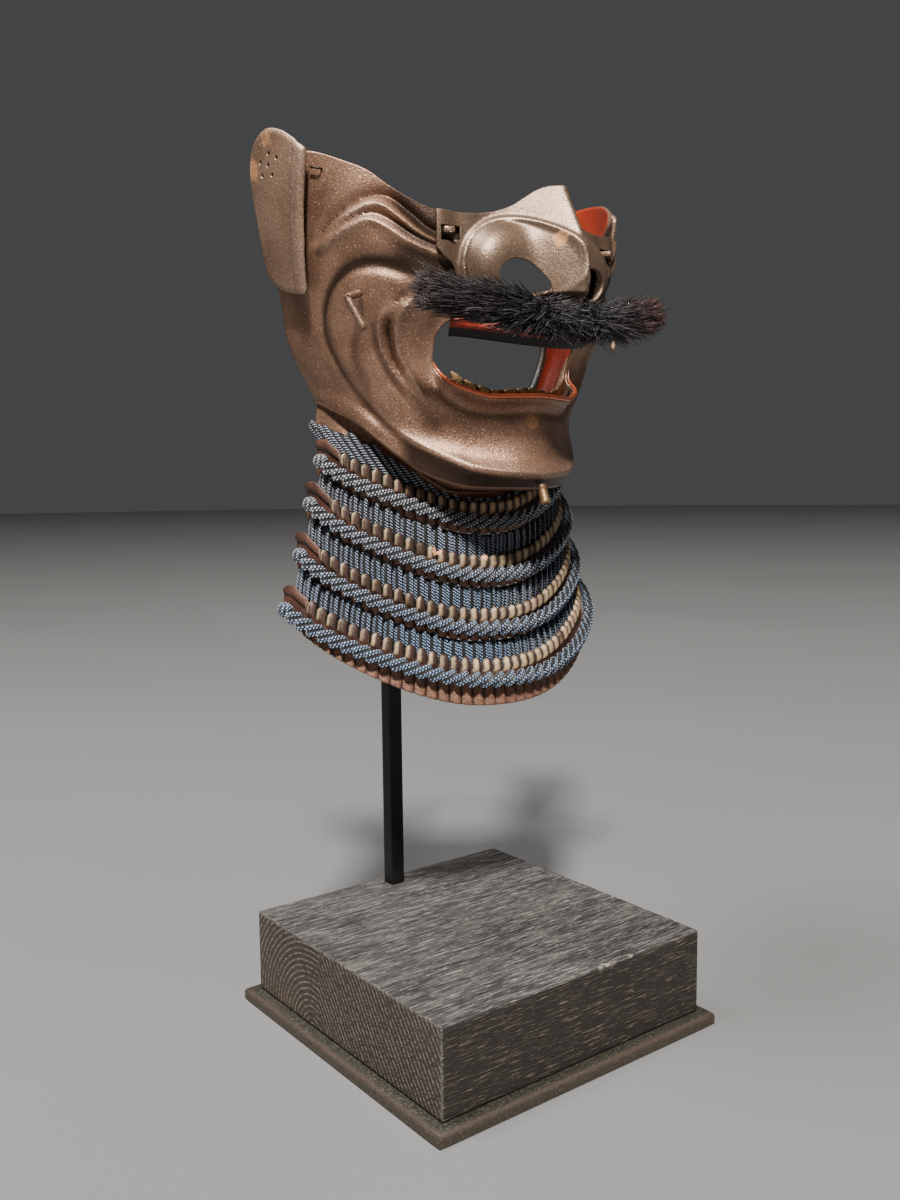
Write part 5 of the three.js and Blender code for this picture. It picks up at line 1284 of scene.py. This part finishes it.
# %% Silk braid
def silk_finish(name, dark, mid, fleck):
    """Twisted silk: each cord shows slanting dashes, pale where the light catches them and black between.
    The dashes are the sine of 4.8 v + 3.4 u, shaken by noise. Low down the silk is bluer. Where the lobe
    value is low, between the cords, at the braids' ends and on a backing, shade is painted near black."""
    paint = Finish(name, Sheen_Weight=0.25, Sheen_Roughness=0.4)
    uv = paint.node("ShaderNodeTexCoord", out="UV")
    u, v = paint.axis("X", uv), paint.axis("Y", uv)
    strand = ((v * 4.8 + u * 3.4) + paint.noise(320, 3) * 5).wave() * 0.5 + 0.5
    thread, cloud = paint.noise(1500, 2, 0.7), paint.noise(70, 3)
    lit = paint.value("lobe")
    low = paint.axis("Z").between(0.265, 0.17)
    tone = paint.blend(mid, scaled(mid, (0.6, 1.1, 1.6)), low)
    fleck = paint.blend(fleck, scaled(fleck, (0.6, 0.85, 1.15)), low)
    catch = (strand * 0.75 + thread * 0.6).between(0.82, 1.0)
    colour = paint.layers(dark, (tone, strand.between(0.3, 0.7) * (cloud * 0.8 + 0.6)),
                          (fleck, catch * lit.between(0.45, 0.85)))
    # Painted shade: near black where lobe is low, between the cords, at the braids' ends and on the backing.
    colour = paint.blend((0.003, 0.003, 0.004), colour, lit.between(0.3, 0.75))
    return paint.done(colour, 0.8, strand + thread * 0.5, 0.0004)


CORDS = 5


def braid(surface, path, outward_way, width, thick, around, seed, point=0.16):
    """A flat braid along a path: a rounded bar with a lobe for each cord. The half section is
    (width cos, thick sin) and the lobes add |sin| to its face; both ends taper to a round over the share
    point of its length."""
    along = unit(np.gradient(path, axis=0))
    side = unit(np.cross(along, outward_way))
    out = np.cross(side, along)
    turn = circle(around)
    x = np.sign(np.cos(turn)) * np.abs(np.cos(turn)) ** 0.75
    lobe = np.abs(np.sin((x + 1) * np.pi * CORDS / 2))
    y = np.sign(np.sin(turn)) * np.abs(np.sin(turn)) ** 0.6 * (0.66 + 0.34 * lobe)
    t = np.linspace(0, 1, len(path))
    taper = np.maximum(arch(1 - np.clip(np.minimum(t, 1 - t) / point, 0, 1)), 0.05)[:, None]
    across, rise = ((z * taper * size / 2)[..., None] for z, size in ((x, width), (y, thick)))
    uv = np.stack(np.broadcast_arrays(x * width / 2, run_along(path)[:, None] + seed), -1)
    surface.patch(path[:, None] + side[:, None] * across + out[:, None] * rise, uv=uv, loop=True, cap=True,
                  # lobe is high on each cord, low between cords and towards the ends; the finish paints it
                  # dark there as shade.
                  lobe=(0.15 + 0.85 * lobe) * np.minimum(1, taper + 0.3))


def knob(surface, centre, radius):
    """A ball with eight slanting lobes, as a Turk's head knot has."""
    v, u = np.linspace(0.02, np.pi - 0.02, 22)[:, None], circle(26)
    lobe = np.sin(8 * u + 1.5 * v)
    ball = np.stack(np.broadcast_arrays(np.sin(v) * np.cos(u), np.sin(v) * np.sin(u), np.cos(v)), -1)
    surface.patch(centre + (radius + 0.2 * lobe)[..., None] * ball, loop=True, cap=True, flip=True,
                  uv=np.stack(np.broadcast_arrays(u * 3.5, v * 3.5), -1), lobe=0.6 + 0.4 * lobe)


blue_silk = silk_finish("slate_blue_silk", (0.007, 0.008, 0.013), (0.09, 0.1, 0.14), (0.68, 0.68, 0.73))
lace_silk = silk_finish("slate_blue_lace", (0.005, 0.007, 0.012), (0.05, 0.065, 0.11), (0.5, 0.54, 0.62))
print("silk ready")

# %% [markdown]
# ## Rope rows
# Where the laces cross a lame they lie slantwise, side by side, and look like one twisted rope. Short
# braids, each over the root of the next, give the true shadows that a bent cylinder with a bump would not.

# %% Rope rows
ROPE_DROP, ROPE_OUT, ROPE_ALONG, ROPE_UP, ROPE_WIDE, ROPE_THICK = 8.9, 4.2, 6.6, 4.6, 5.2, 3.8
KNOB_RADIUS, KNOB_IN = 3.15, 1.6


def add_rope(number, lame):
    """One slanting braid for each head, bowed outwards and with its lower end foremost, so that each lies
    over the root of the next; then a round knob at both ends."""
    length, angle_at = lame_run(lame, 90.5)
    out = LAME_WALL + ROPE_OUT + lame["flare"] * 0.1
    count = int(length / HEAD_PITCH)
    t = np.linspace(-0.5, 0.5, 10)
    surface, knobs = Surface(), Surface()
    for k, centre in enumerate((np.arange(count) + 0.5) * length / count):
        angle = angle_at(np.clip(centre + t * ROPE_ALONG, 0, length))
        path = on_lame(lame, angle, ROPE_DROP - ROPE_UP * t, out - 0.7 + 1.4 * np.cos(np.pi * t) - 1.8 * t)
        way = on_lame(lame, angle, ROPE_DROP, out + 1) - on_lame(lame, angle, ROPE_DROP, out)
        braid(surface, path, way, ROPE_WIDE, ROPE_THICK, 30, seed=k * 3.7, point=0.36)
    for end in (KNOB_IN, length - KNOB_IN):
        knob(knobs, on_lame(lame, angle_at(end), ROPE_DROP, out), KNOB_RADIUS)
    node = [f"rope_row_{number}"]
    surface.mesh(f"rope_braids_{number}", blue_silk, node, "blue_lace", sharp=180)
    knobs.mesh(f"rope_knobs_{number}", blue_silk, node, "blue_lace")


for number, lame in enumerate(LAMES, 1):
    add_rope(number, lame)

# %% [markdown]
# ## Lace bands
# The lames hang from each other on upright laces, close together, so that the guard can fold up. Each
# lace is a braid of its own, swayed and slipped a little at random, as if it were laced by hand.

# %% Lace bands
LACE_END, LACE_TOP, LACE_FOOT, LACE_WIDE, LACE_THICK = 92.5, 14.6, 4.0, 4.8, 1.9


def level_way(angle):
    """The level direction outwards; beyond 90 degrees it stays sideways."""
    turn = np.radians(np.clip(angle, -90, 90))
    return np.stack([np.sin(turn), -np.cos(turn), 0 * turn], -1)


def add_lace(name, node, top, lame, behind):
    """A row of upright braids, one for each head of the lame below, on a backing sheet painted black as the
    shade behind them. Each runs from the line top down to a place behind the lame's heads, and bellies out
    a little in the middle."""
    length, angle_at = lame_run(lame, LACE_END)
    count, v = int(length / HEAD_PITCH), np.linspace(0, 1, 13)
    surface = Surface()
    jitter = rng.uniform(-1, 1, (count, 3))
    for k, centre in enumerate((np.arange(count) + 0.5) * length / count):
        sway, slip, swell = jitter[k]
        angle = angle_at(centre + sway * 0.35 * (v - 0.5))
        way, share = level_way(angle), np.clip(v + slip * 0.09 * (1 - v), -0.1, 1)[:, None]
        path = mix(top(angle), on_lame(lame, angle, LACE_FOOT, -behind), share)
        path = path + way * (0.45 * np.sin(np.pi * v) + 0.15 * swell)[:, None]
        braid(surface, path, way, LACE_WIDE, LACE_THICK, 26, seed=k * 2.3)
    angle = angle_at(np.linspace(0, length, 121))
    way = level_way(angle)[:, None]
    upper, lower = top(angle)[:, None] - way * 0.5, on_lame(lame, angle, LACE_FOOT, -behind)[:, None]
    back = mix(upper, lower, np.linspace(0.04, 1, 6)[:, None]) - way * 0.25
    # The backing: a thin double sheet with lobe 0, painted black as the shade behind the laces.
    surface.patch(back, lobe=0.0)
    surface.patch(back - way * 0.4, flip=True, lobe=0.0)
    surface.mesh(name, lace_silk, [node], "blue_lace", sharp=180)


for number, (upper, lower) in enumerate(zip(LAMES, LAMES[1:]), 1):
    add_lace(f"lace_braids_{number}", f"lace_band_{number}",
             lambda angle, upper=upper: on_lame(upper, angle, LACE_TOP, LAME_WALL + 1.2), lower, 1.3)


def neck_top(angle):
    """The line just outside the flange under the jaw."""
    bend = np.clip(angle, -90, 90)
    height = jaw_edge_height(bend) - FLOOR_DROP - mix(3.4, 8.2, climb(np.abs(bend)))
    return polar(bend, oval(bend, *NECK) + FLANGE_OUT + 2.2, height)


add_lace("lace_braids_neck", "neck_lace", neck_top, LAMES[0], 1.6)

# %% [markdown]
# ## The stand
# A block of fumed oak on a thin plinth, a square steel post, and a bent bar whose two prongs stand inside
# the cheeks. A box with rounded edges is p' = q + r (p - q) / |p - q| for each place p of a cube's skin,
# with q the same place pulled inside by the edge radius r; letting r grow here and there chips the edge.

# %% A box with rounded and chipped edges
def in_mm(box):
    """The low and high corner of a solid's box, in mm."""
    return [np.array(corner) / MM for corner in box]


LOW, HIGH = in_mm(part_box("stand_block"))
SIDE = 75  # the block reaches this far from the middle
PLINTH_HALF, _, PLINTH_TOP = in_mm(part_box("stand_plinth"))[1]


def pulled_in(p, half, radius):
    """q + r (p - q) / |p - q|, with q the place p pulled inside the half sizes by the radius r."""
    q = np.clip(p, -(half - radius), half - radius)
    away = p - q
    return q + radius * (away / np.maximum(np.linalg.norm(away, axis=-1, keepdims=True), 1e-9))


def cube_faces(low, high, counts, radius):
    """Six grids over a box's skin, closer together near its edges, rounded and chipped by radius(p)."""
    middle, half = (low + high) / 2, (high - low) / 2
    spread = [np.sin(t * np.pi / 2) * 0.5 + t / 2 for t in (np.linspace(-1, 1, count) for count in counts)]
    for axis in range(3):
        one, two = (axis + 1) % 3, (axis + 2) % 3
        for sign in (-1, 1):
            p = np.empty((counts[one], counts[two], 3))
            p[..., one], p[..., two] = spread[one][:, None] * half[one], spread[two] * half[two]
            p[..., axis] = sign * half[axis]
            yield middle + pulled_in(p, half, radius(p + middle)[..., None]), sign > 0


def block_radius(p):
    """Edge radius in mm: 0.7, with soft waves along the edges and a few slivers off the front top edge."""
    x, y, z = np.moveaxis(p, -1, 0)
    wave = 0.7 + 0.2 * np.sin(x * 0.31 + 1) * np.sin(y * 0.23 + 2) + 0.1 * np.sin((x + y + z) * 1.3)
    front_top = bell((y + SIDE) / 5) * bell((z - HIGH[2]) / 4)
    slivers = ((12, 0.5), (20, 0.65), (30, 0.55))
    chips = sum(size * bell((x - place) / 5) * front_top for place, size in slivers)
    corner = 0.5 * bell((x + SIDE) / 3) * bell((y + SIDE) / 3) * bell((z - HIGH[2]) / 5)
    return wave + chips + corner


print("block from", LOW.round(1), "to", HIGH.round(1))

# %% Oak and paint
def oak_finish():
    """Oak: fine broken pores along the grain on the sides and top. The end grain shows two glued boards:
    in one the rings curve round a heart low on the left, in the other they run down steeply, and fine
    rays cross both."""
    paint = Finish("fumed_oak", Specular_IOR_Level=0.4)
    x, y, z = (paint.axis(name) for name in "XYZ")
    drift, warp = paint.noise(9, 3), paint.noise(22, 3)
    streak, pores, tone, ray = (
        paint.noise(1.0, detail, rough, at=paint.stretched(scale, turn)) for detail, rough, scale, turn in (
            (5, 0.75, (60, 1400, 1400), (0, 0, 0)), (3, 0.75, (150, 2600, 2600), (0, 0, 0)),
            (4, 0.7, (25, 120, 120), (0, 0, 0)), (3, 0.75, (10, 420, 1700), (0.35, 0, 0))))
    heart = (((y - 0.024) ** 2 + (z - 0.004) ** 2).root() * 2400 + warp * 8).wave()
    steep = ((y - z * 0.75) * 1900 + warp * 10).wave()
    joint = y.between(0.0176, 0.0184)
    ring = heart * joint + steep * (1 - joint)

    long_grain = paint.layers(
        (0.02, 0.02, 0.022), ((0.085, 0.077, 0.07), tone.between(0.35, 0.7)),
        ((0.2, 0.19, 0.18), streak.between(0.5, 0.58) * 0.5),
        ((0.46, 0.42, 0.38), pores.between(0.56, 0.62) * streak.between(0.44, 0.54) * 0.85),
        ((0.006, 0.006, 0.007), pores.between(0.45, 0.4) * 0.9))
    end_grain = paint.layers(
        (0.02, 0.014, 0.01), ((0.036, 0.026, 0.019), drift.between(0.3, 0.7)),
        ((0.2, 0.155, 0.12), ring.between(0.3, 0.9) * ray.between(0.42, 0.56)),
        ((0.13, 0.1, 0.075), ray.between(0.56, 0.68) * 0.5),
        ((0.01, 0.008, 0.006), ray.between(0.4, 0.3) * 0.8))
    front = paint.blend((0.012, 0.0085, 0.006), (0.24, 0.18, 0.13),
                        streak.between(0.5, 0.62) * pores.between(0.46, 0.6))
    colour = paint.layers(long_grain, (end_grain, paint.value("end")), (front, paint.value("front") * 0.95),
                          ((0.75, 0.66, 0.5), paint.value("chip") * pores.between(0.25, 0.45)))
    return paint.done(colour, 0.5 + pores * 0.25, streak + pores, 0.0006)


def plinth_finish():
    """Painted plinth: dark green-grey, speckled, with a rubbed brown edge."""
    paint = Finish("plinth_paint", Specular_IOR_Level=0.4)
    speck, cloud = paint.noise(900, 4, 0.8), paint.noise(30, 3)
    colour = paint.layers((0.012, 0.013, 0.01), ((0.085, 0.08, 0.062), speck.between(0.48, 0.66)),
                          ((0.055, 0.036, 0.024), paint.value("edge") * (0.4 + cloud * 0.5)))
    return paint.done(colour, 0.45 + speck * 0.2, speck, 0.0003)


# %% The block and the plinth
def add_block():
    surface = Surface()
    for points, ahead in cube_faces(LOW, HIGH, (90, 56, 18), block_radius):
        x, y = np.abs(points[..., 0]), np.abs(points[..., 1])
        near_edge = SIDE - np.maximum(x, y) < 2.2
        surface.patch(points, flip=ahead, end=np.abs(x - SIDE) < 0.05, front=points[..., 1] < 0.1 - SIDE,
                      chip=ease((block_radius(points) - 1.25) / 0.4) * near_edge)
    surface.mesh("block_of_oak", oak_finish(), ["stand_block"], "dark_oak", sharp=180)


def square_rings(centre, half, radius, count, levels):
    """Rings at (inset, height): (cos, sin) pushed out to a square, and its corners rounded."""
    turn = circle(count) + 1e-4
    round_way = np.stack([np.cos(turn), np.sin(turn)], -1)
    square = round_way / np.abs(round_way).max(-1, keepdims=True)
    return np.array([np.column_stack([centre + pulled_in(square * (half - inset), half - inset, radius),
                                      np.full(count, height)]) for inset, height in levels])


def add_plinth():
    """A square ring carried up a profile: straight side, then a small rounded bevel. The last column says
    how rubbed each level is."""
    top = PLINTH_TOP
    profile = np.array([(0.4, 0, 0.2), (0, 0.4, 0.5), (0, top - 2.2, 0.6), (0.12, top - 1.4, 0.9),
                        (0.5, top - 0.7, 1), (1.1, top - 0.25, 0.9), (1.7, top, 0.5), (4, top, 0.15),
                        (40, top, 0)])
    single("plinth_board", plinth_finish(), ["stand_plinth"], "plinth",
           square_rings(0, PLINTH_HALF, 0.9, 160, profile[:, :2]), sharp=35, loop=True, cap=True,
           edge=profile[:, 2:])


add_block()
add_plinth()

# %% [markdown]
# ## The steel
# The post is a square bar, the holder a round one bent so that its ends stand inside the cheeks. Both are
# rings carried along a path, which closes them and keeps their edges even.

# %% Post and holder
def steel_finish():
    """Blackened steel: nearly black, satin, with a few rubbed brown places."""
    paint = Finish("black_steel", Metallic=0.55)
    cloud, fine = paint.noise(40, 4), paint.noise(1100, 2)
    colour = paint.blend((0.008, 0.008, 0.009), (0.035, 0.028, 0.022), cloud.between(0.45, 0.72))
    return paint.done(colour, 0.35 + fine * 0.2, fine, 0.00015)


HOLDER_RADIUS = 1.6


def add_post():
    low, high = in_mm(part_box("stand_post"))
    foot, top = low[2], high[2]
    levels = [(0.3, foot), (0, foot + 0.3), *((0, z) for z in np.linspace(foot + 2, top - 2, 40)),
              (0, top - 0.5), (0.5, top)]
    rings = square_rings((low[:2] + high[:2]) / 2, (high[0] - low[0]) / 2, 0.45, 40, levels)
    single("steel_post", steel, ["stand_post"], "black_steel", rings, loop=True, cap=True)


def add_holder():
    """A round bar: up inside one cheek, down and in behind the mask, across in front of the post and back."""
    inside = FACE_WALL + 0.35 + HOLDER_RADIUS + 0.9
    front = in_mm(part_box("stand_post"))[0][1] - HOLDER_RADIUS - 0.35
    half = [on_face(86, height, -inside) for height in (330, 313, 296)]
    half += [np.array([56, 37, 293]), np.array([40, front - 1, 298]), np.array([12, front, 300])]
    path = np.array([p * [-1, 1, 1] for p in half] + half[::-1])
    add_tube("holder_bar", path, HOLDER_RADIUS, steel, "holder", "black_steel", sides=14, count=160)


steel = steel_finish()
add_post()
add_holder()
